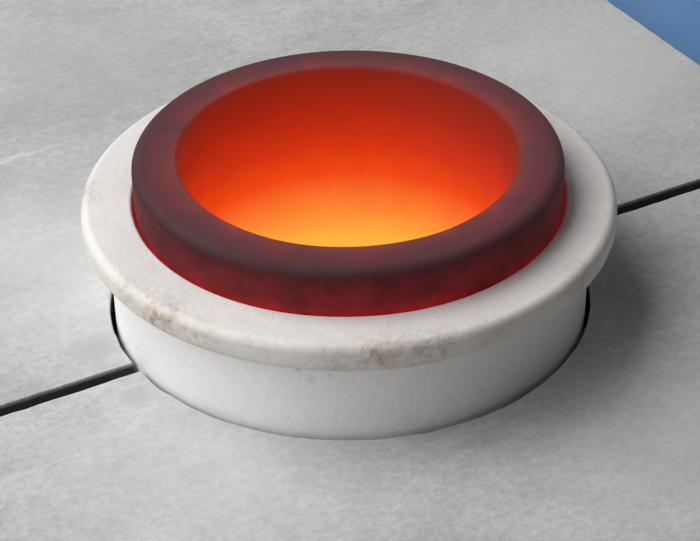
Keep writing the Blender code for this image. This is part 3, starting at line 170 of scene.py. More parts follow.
def edgeMask(tree, width):
    # Bright where the surface turns over an edge that lies within this many millimetres
    soft = put(tree, "Bevel", {"Radius": width * mm}, samples=4).outputs[0]
    true = put(tree, "NewGeometry").outputs["Normal"]
    turn = put(tree, "VectorMath", {0: soft, 1: true}, operation="DOT_PRODUCT").outputs["Value"]
    return spread(tree, turn, 0.985, 0.86)


def nearSpot(tree, place, spot, size, strength):
    away = put(tree, "VectorMath", {0: place, 1: spot}, operation="DISTANCE").outputs["Value"]
    return spread(tree, away, size * mm, size * 0.2 * mm, 0, strength)


def newFinish(name):
    material = bpy.data.materials.new(name)
    material.use_nodes = True
    tree = material.node_tree
    return material, tree, tree.nodes["Principled BSDF"], put(tree, "TexCoord").outputs["Object"]


def join(tree, shader, **sockets):
    # Sets or links the shader's sockets by name, with underscores for spaces
    for name, value in sockets.items():
        socket = shader.inputs[name.replace("_", " ")]
        if isinstance(value, bpy.types.NodeSocket):
            tree.links.new(value, socket)
        else:
            socket.default_value = value


commonLook = {
    "tone": (128, 128, 128),      # main colour
    "patch": None,                # colour of the large soft blotches
    "patchSize": 14,
    "patchShare": 0.6,
    "speck": 0.06,                # how much the fine grain lightens and darkens
    "speckSize": 0.7,
    "rough": 0.5,
    "roughSpread": 0.12,
    "metal": 0.0,
    "bumps": ((1.2, 0.02),),      # pairs of size and height
    "stretch": (1, 1, 1),
    "worn": None,                 # colour that shows through along edges
    "wornWidth": 0.7,
    "wornShare": 0.6,
    "dirt": None,                 # colour of smudges
    "dirtShare": 0.2,
    "dirtSize": 30,
}


def surface(name, look, **direct):
    look = {**commonLook, **look}
    material, tree, shader, place = newFinish(name)
    along = stretched(tree, place, *look["stretch"])
    patches = spread(tree, grain(tree, place, look["patchSize"], 4), 0.38, 0.62, 0, look["patchShare"])
    tone = mixed(tree, patches, shade(*look["tone"]), shade(*(look["patch"] or look["tone"])))
    speck = grain(tree, along, look["speckSize"], 3)
    tone = tinted(tree, tone, spread(tree, speck, 0.3, 0.7, 1 - look["speck"], 1 + look["speck"]))
    smooth = grain(tree, along, look["patchSize"] / 3, 4)
    smoothest, roughest = look["rough"] - look["roughSpread"], look["rough"] + look["roughSpread"]
    rough = spread(tree, smooth, 0.3, 0.7, smoothest, roughest)
    if look["dirt"]:
        smudge = eased(tree, grain(tree, place, look["dirtSize"], 6, 0.62), 0.5, 0.72)
        tone = mixed(tree, times(tree, smudge, look["dirtShare"]), tone, shade(*look["dirt"]))
    if look["worn"]:
        broken = spread(tree, grain(tree, place, 2.4, 5, 0.7), 0.38, 0.62)
        edge = times(tree, edgeMask(tree, look["wornWidth"]), broken, look["wornShare"])
        tone = mixed(tree, edge, tone, shade(*look["worn"]))
    bumps = [(grain(tree, along, size, 3), height) for size, height in look["bumps"]]
    join(tree, shader, Base_Color=tone, Roughness=rough, Metallic=look["metal"], Normal=relief(tree, bumps))
    join(tree, shader, **direct)
    return material


# Flat outlines, in millimetres
def rectangle(width, height, corner=0.0, x=0.0, y=0.0):
    sides = ((-1, -1), (1, -1), (1, 1), (-1, 1))
    points = [Vector((x + right * width / 2, y + up * height / 2)) * mm for right, up in sides]
    return filleted(points, [corner * mm] * 4) if corner else points


def circle(radius, sides=48, x=0.0, y=0.0):
    turns = [2 * math.pi * side / sides for side in range(sides)]
    return [Vector((x + radius * math.cos(turn), y + radius * math.sin(turn))) * mm for turn in turns]


def arc(radius, start, end, steps):
    turns = [math.radians(start + (end - start) * step / steps) for step in range(steps + 1)]
    return [Vector((math.cos(turn), math.sin(turn))) * radius * mm for turn in turns]


def hole(outline):
    return outline[::-1]


def filleted(points, radii, closed=True):
    # Replaces each corner by an arc of its radius, as far as its two sides have room
    result = []
    for index, (corner, radius) in enumerate(zip(points, radii)):
        if radius <= 0 or (not closed and index in (0, len(points) - 1)):
            result.append(corner)
            continue
        before = points[index - 1] - corner
        after = points[(index + 1) % len(points)] - corner
        opening = before.angle(after)
        if opening > math.radians(175):
            result.append(corner)
            continue
        reach = min(radius / math.tan(opening / 2), before.length * 0.49, after.length * 0.49)
        real = reach * math.tan(opening / 2)
        middle = (before.normalized() + after.normalized()).normalized()
        centre = corner + middle * (real / math.sin(opening / 2))
        first = corner + before.normalized() * reach - centre
        last = corner + after.normalized() * reach - centre
        sweep = first.angle_signed(last)
        steps = max(2, round(abs(sweep) / math.radians(10)))
        for step in range(steps + 1):
            result.append(centre + Matrix.Rotation(-sweep * step / steps, 2) @ first)
    return result


def rounded(corners):
    # A turned profile from (radius, height, fillet) corners in millimetres
    points = [Vector((radius, height)) * mm for radius, height, _ in corners]
    return filleted(points, [fillet * mm for _, _, fillet in corners], closed=False)


def loopArea(loop):
    return sum(a.x * b.y - b.x * a.y for a, b in zip(loop, loop[1:] + loop[:1])) / 2


def inset(loop, reach):
    # Moves a loop into the sheet, which lies on its left; the reach may differ from point to point
    result = []
    for index, point in enumerate(loop):
        before = (point - loop[index - 1]).normalized()
        after = (loop[(index + 1) % len(loop)] - point).normalized()
        along = (before + after).normalized()
        inwards = Vector((-along.y, along.x))
        room = max(0.5, inwards.dot(Vector((-before.y, before.x))))
        distance = reach[index] if isinstance(reach, list) else reach
        result.append(point + inwards * distance / room)
    return result


# Solid shapes
def turned(profile, sides=96, wobble=0.0, seed=0.0, closed=False, reshape=None):
    # Spins a profile about Z; the wobble is the unevenness of a piece cast or turned by hand
    builder = bmesh.new()
    rings = []
    for radius, height in profile:
        if radius < 1e-7:
            rings.append([builder.verts.new((0, 0, height))])
            continue
        ring = []
        for side in range(sides):
            turn = 2 * math.pi * side / sides
            out = radius
            if wobble:
                spot = Vector((math.cos(turn) * 2, math.sin(turn) * 2, height * 40 + seed))
                out += wobble * noise.noise(spot)
            if reshape:
                out = reshape(out, turn, height)
            ring.append(builder.verts.new((out * math.cos(turn), out * math.sin(turn), height)))
        rings.append(ring)
    pairs = list(zip(rings, rings[1:]))
    if closed:
        pairs.append((rings[-1], rings[0]))
    for lower, upper in pairs:
        for side in range(sides):
            corners = [lower[side % len(lower)], lower[(side + 1) % sides % len(lower)]]
            corners += [upper[(side + 1) % sides % len(upper)], upper[side % len(upper)]]
            builder.faces.new(list(dict.fromkeys(corners)))
    return builder


def lofted(sections):
    # Joins loops of points in order and closes both ends
    builder = bmesh.new()
    rings = [[builder.verts.new(point) for point in section] for section in sections]
    for lower, upper in zip(rings, rings[1:]):
        for index in range(len(lower)):
            after = (index + 1) % len(lower)
            builder.faces.new((lower[index], lower[after], upper[after], upper[index]))
    builder.faces.new(rings[0][::-1])
    builder.faces.new(rings[-1])
    return builder


def swept(route, radius, sides=20):
    # A round bar along a route
    sections = []
    normal = (route[1] - route[0]).orthogonal().normalized()
    for index, here in enumerate(route):
        along = route[min(index + 1, len(route) - 1)] - route[max(index - 1, 0)]
        along.normalize()
        normal = (normal - along * normal.dot(along)).normalized()
        other = along.cross(normal)
        turns = [2 * math.pi * side / sides for side in range(sides)]
        sections.append([here + (normal * math.cos(t) + other * math.sin(t)) * radius for t in turns])
    return lofted(sections)


def flat(point, level):
    return (point.x, point.y, level)


def sheet(loops, low, high, edge, place=flat, pocket=None):
    # A flat piece between two levels with rounded edges: the outline, then its holes, with an own
    # list of widths and depths for a broken upper edge, and a blind pocket down to a level
    builder = bmesh.new()
    wide, deep, plain = edge if isinstance(edge, tuple) else (edge, edge, edge)
    caps = ([], [])
    turns = [math.radians(turn) for turn in (0, 30, 60, 90)]
    pockets = [pocket] if pocket else []
    for number, (loop, floor) in enumerate([(loop, None) for loop in loops] + pockets):
        if floor is None:
            levels = [(plain * (1 - math.sin(t)), low + plain * (1 - math.cos(t))) for t in turns]
        else:
            levels = [(0.0, floor)]
        rings = [[builder.verts.new(place(p, level)) for p in inset(loop, reach)] for reach, level in levels]
        sideways, downwards = (wide, deep) if number == 0 else (plain, plain)
        for turn in reversed(turns):
            share, drop = 1 - math.sin(turn), 1 - math.cos(turn)
            across = [value * share for value in sideways] if isinstance(sideways, list) else sideways * share
            depths = downwards if isinstance(downwards, list) else [downwards] * len(loop)
            moved = inset(loop, across)
            points = [place(p, high - depth * drop) for p, depth in zip(moved, depths)]
            rings.append([builder.verts.new(point) for point in points])
        for lower, upper in zip(rings, rings[1:]):
            for index in range(len(loop)):
                after = (index + 1) % len(loop)
                builder.faces.new((lower[index], lower[after], upper[after], upper[index]))
        lowCap = caps[0] if floor is None else []
        for cap, ring in ((lowCap, rings[0]), (caps[1], rings[-1])):
            for index, corner in enumerate(ring):
                side = builder.edges.get((corner, ring[(index + 1) % len(ring)]))
                side.smooth = False
                cap.append(side)
        if floor is not None:
            bmesh.ops.triangle_fill(builder, use_beauty=True, edges=lowCap)
    for cap in caps:
        bmesh.ops.triangle_fill(builder, use_beauty=True, edges=cap)
    return builder


def slab(loops, low, high, edge=0.4, pocket=None):
    return sheet(loops, low * mm, high * mm, edge * mm, pocket=pocket)


def together(*parts):
    # One shape from several, each drawn in place or given with the matrix that moves it
    result = bmesh.new()
    for part in parts:
        builder, move = part if isinstance(part, tuple) else (part, Matrix.Identity(4))
        builder.transform(move)
        mesh = bpy.data.meshes.new("drawing")
        builder.to_mesh(mesh)
        builder.free()
        result.from_mesh(mesh)
        bpy.data.meshes.remove(mesh)
    return result


def shifted(x=0.0, y=0.0, z=0.0):
    return Matrix.Translation(Vector((x, y, z)) * mm)


def hexNut(corner, low, high, bore=0.0):
    # A nut with chamfered corners, by its radius over the corners
    flatReach = corner * math.cos(math.pi / 6) * mm

    def sixSided(out, turn, height):
        return min(out, flatReach / math.cos((turn % (math.pi / 3)) - math.pi / 6))

    chamfer = (corner - flatReach / mm) * 0.55
    ring = [(flatReach / mm + 0.1, low), (corner, low + chamfer), (corner, high - chamfer)]
    ring += [(flatReach / mm + 0.1, high)]
    if bore:
        profile = [Vector(point) * mm for point in [(bore, low), *ring, (bore, high)]]
        return turned(profile, 72, closed=True, reshape=sixSided)
    return turned([Vector(point) * mm for point in [(0, low), *ring, (0, high)]], 72, reshape=sixSided)


def threaded(radius, low, high, pitch, depth):
    # The corners of a thread's outline, drawn as rings
    corners = []
    for turn in range(int((high - low) / pitch)):
        start = low + turn * pitch
        corners += [(radius - depth, start, 0), (radius, start + pitch / 2, 0)]
    return corners + [(radius - depth, high, 0)]


def lettering(text, size, depth):
    # Figures drawn round the origin
    curve = bpy.data.curves.new("figures", "FONT")
    curve.body = text
    curve.size = size * mm
    curve.extrude = depth * mm / 2
    curve.align_x = "CENTER"
    curve.align_y = "CENTER"
    curve.resolution_u = 4
    holder = bpy.data.objects.new("figures", curve)
    mesh = bpy.data.meshes.new_from_object(holder)
    builder = bmesh.new()
    builder.from_mesh(mesh)
    bmesh.ops.remove_doubles(builder, verts=builder.verts, dist=0.001 * mm)
    bpy.data.objects.remove(holder)
    bpy.data.curves.remove(curve)
    bpy.data.meshes.remove(mesh)
    return builder


def smoothRoute(stops, steps):
    # The same curve that the hoses follow, only finer
    route = [stops[0].lerp(stops[1], step / steps) for step in range(steps)]
    for before, here, there, after in zip(stops, stops[1:], stops[2:], stops[3:]):
        for step in range(steps):
            t = step / steps
            bend = (2 * before - 5 * here + 4 * there - after) * t**2
            bend += (3 * here - before - 3 * there + after) * t**3
            route.append(0.5 * (2 * here + (there - before) * t + bend))
    return route + [stops[-2], stops[-1]]


# Pieces
def addPiece(name, builder, node, finish=None, origin=(0, 0, 0), side="up", sharp=35, turn=None):
    # One piece that rides with a node's body and takes its slot, drawn round the origin
    bmesh.ops.recalc_face_normals(builder, faces=builder.faces)
    mesh = bpy.data.meshes.new(name)
    builder.to_mesh(mesh)
    builder.free()
    mesh.shade_smooth()
    mesh.set_sharp_from_angle(angle=math.radians(sharp))
    return addMesh(name, mesh, node, finish, Matrix.Translation(origin) @ (turn or facing[side]))


def addMesh(name, mesh, node, finish, place):
    if not mesh.materials:
        mesh.materials.append(finish or finishes[slotOf[node]])
    piece = bpy.data.objects.new(name, mesh)
    piece.matrix_world = place
    scene.collection.objects.link(piece)
    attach(piece, bodyOf[node])
    return piece


def dress(node, builder, finish=None, origin=(0, 0, 0), side="up", sharp=35, turn=None):
    # The fine piece that stands for a node
    piece = addPiece(node + "_dressed", builder, node, finish, origin, side, sharp, turn)
    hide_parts(node)
    return piece


def middleOf(node):
    low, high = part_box(node)
    return (low + high) / 2


def onPanel(node, side="front"):
    # The point on the outer face of the front or rear panel behind a node's middle
    middle = middleOf(node)
    return Vector((middle.x, frontFace if side == "front" else rearFace, middle.z))


def faceLoops(node, direction):
    # The outline and the holes of a flat node's outer face, each with the sheet on its left
    across = [i for i in range(3) if abs(direction[i]) < 0.5]
    builder = bmesh.new()
    builder.from_mesh(cadNodes[node].data)
    bmesh.ops.remove_doubles(builder, verts=builder.verts, dist=0.001 * mm)
    low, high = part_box(node)
    level = max(low.dot(direction), high.dot(direction))
    facets = {f for f in builder.faces if all(level - v.co.dot(direction) < 0.01 * mm for v in f.verts)}
    follow = {}
    for face in facets:
        for corner in face.loops:
            if sum(other in facets for other in corner.edge.link_faces) == 1:
                follow[corner.vert] = corner.link_loop_next.vert
    loops = []
    while follow:
        start, here = follow.popitem()
        ring = [start]
        while here != start:
            ring.append(here)
            here = follow.pop(here)
        loops.append([Vector((v.co[across[0]], v.co[across[1]])) for v in ring])
    builder.free()
    loops.sort(key=lambda loop: -abs(loopArea(loop)))
    return [loop[::-1] for loop in loops] if loopArea(loops[0]) < 0 else loops


def roundLoop(loop):
    # The centre and radius of a loop that is round, or a radius of None
    centre = sum(loop, Vector((0, 0))) / len(loop)
    reaches = [(point - centre).length for point in loop]
    isRound = len(loop) >= 8 and max(reaches) - min(reaches) < 0.05 * mm
    return centre, reaches[0] if isRound else None


def smoothLoop(loop, corner, sides=48):
    # Round holes get more sides, and other corners a small radius
    centre, radius = roundLoop(loop)
    if radius is None:
        return filleted(loop, [corner] * len(loop))
    way = 1 if loopArea(loop) > 0 else -1
    turns = [way * 2 * math.pi * side / sides for side in range(sides)]
    return [centre + Vector((math.cos(turn), math.sin(turn))) * radius for turn in turns]


def cutSheet(node, direction, corner, edge):
    # A fine copy of a flat node, cut from its own outline and holes
    direction = Vector(direction)
    low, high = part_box(node)
    normal = max(range(3), key=lambda i: abs(direction[i]))
    across = [i for i in range(3) if i != normal]

    def place(point, level):
        spot = [0, 0, 0]
        spot[normal] = level
        spot[across[0]], spot[across[1]] = point
        return spot

    loops = [smoothLoop(loop, corner * mm) for loop in faceLoops(node, direction)]
    dress(node, sheet(loops, low[normal], high[normal], edge * mm, place))


def softBlock(node, edge, corner=None):
    # A fine copy of a square-edged node
    low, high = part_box(node)
    size = (high - low) / mm
    middle = (low + high) / 2 / mm
    outline = rectangle(size.x, size.y, corner or edge, middle.x, middle.y)
    dress(node, sheet([outline], low.z, high.z, edge * mm))


# Graphite crucible, glowing from inside
crucibleLook = {
    "radius": 51.2,
    "footRadius": 46.0,
    "taperHeight": 60.0,
    "bore": 40.2,
    "floor": 12.0,
    "rimRound": 2.6,
    "lipRound": 1.2,
    "bowlRound": 20.0,
    "skin": (62, 43, 47),
    "skinShade": (46, 30, 32),
    "wall": (28, 15, 16),
    "boreSkin": (30, 12, 8),
    "wallStart": 6.0,             # below this many millimetres all that lies outside the bore is wall
    # The side the lamps light, where the wall's glow is painted brighter
    "glowLitSide": (-0.87, -0.5, 0),
    # How bright the bore is, by millimetres below the rim
    "glow": (
        (0, (124, 24, 12)), (10, (160, 28, 10)), (22, (206, 45, 12)), (31, (240, 68, 17)),
        (41, (253, 126, 48)), (51, (253, 177, 63)), (80, (255, 212, 100)), (118, (255, 234, 156)),
    ),
    # How the rim glows, by millimetres from the bore outwards
    "rimGlow": (
        (0, (124, 38, 28)), (1.6, (100, 36, 32)), (4.5, (84, 24, 30)), (8.5, (60, 18, 26)), (11, (20, 6, 10)),
    ),
    # How the outer wall glows, by millimetres below the rim
    "wallGlow": (
        (0, (34, 6, 12)), (3, (74, 12, 18)), (9, (96, 14, 20)), (13, (150, 20, 14)), (40, (190, 50, 20)),
    ),
}


def graphiteFinish(look, height):
    material, tree, shader, place = newFinish("hotGraphite")
    parts = put(tree, "SeparateXYZ", {0: place}).outputs
    level = put(tree, "CombineXYZ", {0: parts[0], 1: parts[1]}).outputs[0]
    radius = put(tree, "VectorMath", {0: level}, operation="LENGTH").outputs["Value"]
    depth = maths(tree, "SUBTRACT", height * mm, parts[2])

    def along(value, stops):
        farthest = stops[-1][0]
        share = maths(tree, "DIVIDE", value, farthest * mm)
        return ramp(tree, share, [(at / farthest, shade(*tone)) for at, tone in stops])

    patches = grain(tree, place, 9, 5, 0.6)
    fine = grain(tree, place, 1.1, 4, 0.6)
    rings = grain(tree, stretched(tree, place, 9, 9, 0.5), 3, 3)
    rim = along(maths(tree, "SUBTRACT", radius, look["bore"] * mm), look["rimGlow"])
    rim = tinted(tree, rim, spread(tree, patches, 0.3, 0.7, 0.45, 1.5))
    wall = tinted(tree, along(depth, look["wallGlow"]), spread(tree, patches, 0.3, 0.7, 0.5, 1.45))
    inside = tinted(tree, along(depth, look["glow"]), spread(tree, patches, 0.2, 0.8, 0.93, 1.07))
    onRim = eased(tree, radius, (look["bore"] + 0.1) * mm, (look["bore"] + 1.4) * mm)
    outside = maths(tree, "GREATER_THAN", radius, (look["radius"] - look["rimRound"] - 0.2) * mm)
    below = maths(tree, "GREATER_THAN", depth, look["wallStart"] * mm)
    aside = maths(tree, "GREATER_THAN", radius, (look["bore"] + look["footRadius"]) / 2 * mm)
    under = maths(tree, "LESS_THAN", parts[2], look["floor"] / 2 * mm)
    under = maths(tree, "MAXIMUM", times(tree, below, aside), under)
    outside = maths(tree, "MAXIMUM", outside, under)
    onWall = times(tree, eased(tree, depth, 0.1 * mm, 2.8 * mm), outside)
    # Painted light: the wall's real glow is painted brighter on the side the lamps light, and dimmer away
    # from it
    towards = put(tree, "VectorMath", {0: place, 1: look["glowLitSide"]}, operation="DOT_PRODUCT")
    towards = maths(tree, "DIVIDE", towards.outputs["Value"], radius)
    wall = tinted(tree, wall, spread(tree, towards, 0.2, 0.85, 0.4, 1.0))
    glow = mixed(tree, onWall, mixed(tree, onRim, inside, rim), wall)
    skin = mixed(tree, spread(tree, patches, 0.35, 0.65), shade(*look["skin"]), shade(*look["skinShade"]))
    skin = mixed(tree, onWall, skin, shade(*look["wall"]))
    skin = tinted(tree, skin, spread(tree, fine, 0.3, 0.7, 0.8, 1.2))
    skin = mixed(tree, maths(tree, "SUBTRACT", 1.0, onRim), skin, shade(*look["boreSkin"]))
    rough = spread(tree, fine, 0.3, 0.7, 0.6, 0.8)
    join(tree, shader, Base_Color=skin, Roughness=rough, Specular_IOR_Level=0.15)
    join(tree, shader, Emission_Color=glow, Emission_Strength=1.0)
    join(tree, shader, Normal=relief(tree, [(rings, 0.10), (fine, 0.05), (patches, 0.25)]))
    return material


def makeCrucible(look):
    height = (rimHigh.z - rimLow.z) / mm
    corners = [(0, 0, 0), (look["footRadius"], 0, 4), (look["radius"], look["taperHeight"], 20)]
    corners += [(look["radius"], height, look["rimRound"]), (look["bore"], height, look["lipRound"])]
    corners += [(look["bore"], look["floor"], look["bowlRound"]), (0, look["floor"], 0)]
    origin = (axis.x, axis.y, rimLow.z)
    dress("crucible", turned(rounded(corners), 192, 0.25 * mm), graphiteFinish(look, height), origin)


# Ceramic sleeve with its flange
sleeveLook = {
    "bore": 51.8,
    "neck": 57.8,
    "flange": 64.0,
    "flangeThickness": 7.5,
    "floor": 10.0,
    "topRound": 2.2,
    "underRound": 2.8,
    "cove": 3.0,
    "tone": (230, 227, 225),
    "patch": (224, 220, 218),
    # Painted shade: the flange's outer side is painted darker than its top; painted light: the neck below the
    # flange is painted paler
    "side": (216, 211, 204),
    "litNeckTone": (240, 240, 239),
    "scorch": (150, 116, 84),
    "sootAndGapShade": (92, 78, 66),
    # Scorch marks on the flange: degrees round the axis, millimetres below the top, size, strength
    "stains": (
        (-160, 3.0, 9.0, 0.75), (-170, 1.0, 7.0, 0.5), (-150, 5.5, 7.5, 0.6), (-112, 2.2, 8.0, 0.7),
        (-103, 3.0, 9.0, 0.55), (-121, 4.0, 7.0, 0.35), (-88, 5.0, 8.0, 0.35), (-62, 4.0, 9.0, 0.35),
        (150, 3.0, 9.0, 0.5), (96, 4.0, 8.0, 0.55), (40, 3.0, 9.0, 0.45), (8, 5.0, 8.0, 0.4),
    ),
    # Dark spots on the neck, given the same way
    "spots": ((-127, 13.5, 1.3, 0.6), (-130, 11.0, 1.0, 0.6), (-123, 12.0, 0.9, 0.5), (120, 14.0, 1.2, 0.6)),
}


def ceramicFinish(look, top):
    material, tree, shader, place = newFinish("castCeramic")
    parts = put(tree, "SeparateXYZ", {0: place}).outputs
    level = put(tree, "CombineXYZ", {0: parts[0], 1: parts[1]}).outputs[0]
    radius = put(tree, "VectorMath", {0: level}, operation="LENGTH").outputs["Value"]
    broad = grain(tree, place, 16, 4, 0.55)
    middle = grain(tree, place, 4, 5, 0.62)
    fine = grain(tree, place, 0.7, 3)
    tone = mixed(tree, spread(tree, broad, 0.38, 0.62), shade(*look["tone"]), shade(*look["patch"]))
    # Painted light on the neck, painted paler than the flange top, and painted shade on the flange's outer
    # side, painted darker
    neckTop = top - look["flangeThickness"]
    paintedLightOnNeck = eased(tree, parts[2], (neckTop + 0.5) * mm, (neckTop - 2) * mm)
    paintedLightOnNeck = times(tree, paintedLightOnNeck, spread(tree, broad, 0.3, 0.7, 0.8, 1.0))
    tone = mixed(tree, paintedLightOnNeck, tone, shade(*look["litNeckTone"]))
    paintedShadeOnSide = eased(tree, radius, (look["flange"] - 2.0) * mm, (look["flange"] - 0.4) * mm)
    paintedShadeOnSide = times(tree, paintedShadeOnSide, spread(tree, middle, 0.3, 0.7, 0.55, 1.0))
    tone = mixed(tree, paintedShadeOnSide, tone, shade(*look["side"]))

    def marks(places, reach):
        total = 0.0
        for turn, depth, size, strength in places:
            angle = math.radians(turn)
            spot = Vector((reach * math.cos(angle), reach * math.sin(angle), top - depth)) * mm
            total = maths(tree, "MAXIMUM", nearSpot(tree, place, spot, size, strength), total)
        return total

    ragged = spread(tree, grain(tree, place, 3.2, 6, 0.7, 0.6), 0.36, 0.66)
    rimOnly = spread(tree, radius, 56 * mm, 63 * mm)
    scorch = times(tree, marks(look["stains"], look["flange"]), ragged, rimOnly)
    tone = mixed(tree, times(tree, scorch, 0.9), tone, shade(*look["scorch"]))
    dark = times(tree, scorch, spread(tree, grain(tree, place, 1.6, 5, 0.7), 0.5, 0.68))
    tone = mixed(tree, dark, tone, shade(*look["sootAndGapShade"]))
    tone = mixed(tree, times(tree, marks(look["spots"], look["neck"]), ragged), tone, shade(*look["sootAndGapShade"]))
    tone = tinted(tree, tone, spread(tree, fine, 0.3, 0.7, 0.97, 1.03))
    rough = spread(tree, middle, 0.3, 0.7, 0.48, 0.66)
    pits = spread(tree, grain(tree, place, 1.5, 2), 0.28, 0.40)
    join(tree, shader, Base_Color=tone, Roughness=rough)
    join(tree, shader, Normal=relief(tree, [(middle, 0.10), (fine, 0.015), (pits, 0.06), (broad, 0.3)]))
    return material


def makeSleeve(look):
    top = (flangeHigh.z - flangeLow.z) / mm
    under = top - look["flangeThickness"]
    corners = [(0, 0, 0), (look["neck"], 0, 2), (look["neck"], under, look["cove"])]
    corners += [(look["flange"], under, look["underRound"]), (look["flange"], top, look["topRound"])]
    corners += [(look["bore"], top, 0.8), (look["bore"], look["floor"], 3), (0, look["floor"], 0)]
    origin = (axis.x, axis.y, flangeLow.z)
    dress("sleeve", turned(rounded(corners), 192, 0.35 * mm, 5.0), ceramicFinish(look, top), origin)


# What lies below the top: fibre pad and liner, tile and block
hearthLook = {
    "padFoot": 1.0, "padRound": 1.4, "padWobble": 0.3, "linerWall": 4.0, "linerEdge": 0.7,
    "blockEdge": 1.5, "blockCorner": 3.0, "postEdge": 0.6,
}


def makeHearth(look):
    padLow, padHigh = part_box("crucible_pad")
    padRadius = (padHigh.x - padLow.x) / 2 / mm
    padHeight = (padHigh.z - padLow.z) / mm
    pad = [(0, 0, 0), (padRadius, 0, look["padFoot"])]
    pad += [(padRadius, padHeight, look["padRound"]), (0, padHeight, 0)]
    shape = turned(rounded(pad), 96, look["padWobble"] * mm, 9.0)
    dress("crucible_pad", shape, origin=(axis.x, axis.y, padLow.z))
    linerLow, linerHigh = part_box("coil_liner")
    outer = (linerHigh.x - linerLow.x) / 2 / mm
    inner = outer - look["linerWall"]
    height = (linerHigh.z - linerLow.z) / mm
    wall = [(inner, 0), (outer, 0), (outer, height), (inner, height)]
    profile = filleted([Vector(corner) * mm for corner in wall], [look["linerEdge"] * mm] * 4)
    dress("coil_liner", turned(profile, 128, closed=True), origin=(axis.x, axis.y, linerLow.z))
    for name in ("hearth_tile", "insulating_block"):
        softBlock(name, look["blockEdge"], look["blockCorner"])
    for side in ("front", "left", "rear"):
        softBlock(side + "_coil_post", look["postEdge"])


# Cement board top, cut in two halves round the sleeve
boardLook = {
    "holeRadius": 58.9,
    "edge": 0.7,
    "pitch": 1.6,
    "ragged": 0.16,
    "tone": (199, 199, 198),
    "dark": (178, 179, 178),
    "pale": (226, 226, 224),
    # Places painted paler as painted light and darker as painted shade, the two smallest dark ones being real
    # smudges by the hole: x and y from the crucible's axis, size, strength
    "paintedLightSpots": ((-56, 50, 55, 0.45), (-60, -45, 45, 0.35), (120, 66, 60, 0.5)),
    "shadeAndSmudges": ((-17, 145, 55, 0.5), (34, -87, 40, 0.6), (-64, 8, 8, 0.9), (-63, -14, 5, 0.7)),
    # Pale brush streaks: x and y from the crucible's axis, half length, half width, strength
    "streaks": (
        (-62, 136, 34, 2.6, 0.8), (-56, 100, 26, 2.0, 0.7), (-70, 118, 22, 1.6, 0.5), (44, 88, 28, 2.0, 0.6),
    ),
    "streakDrift": 5,
    "pit": (120, 119, 116),
    # Painted shade in the seam and the gap round the sleeve: its colour, its width from the seam and its
    # reach past the hole
    "sootAndGapShade": (58, 56, 53),
    "seamShadeWidth": 2.0,
    "biteShadeReach": 0.9,
    # Broken edges: x and y from the crucible's axis, reach, width and depth
    "chips": ((-57.6, 13.0, 4.0, 0.5, 0.4), (-52.0, 28.0, 4.0, 0.9, 0.5), (-57.0, -14.0, 3.0, 0.6, 0.4)),
}


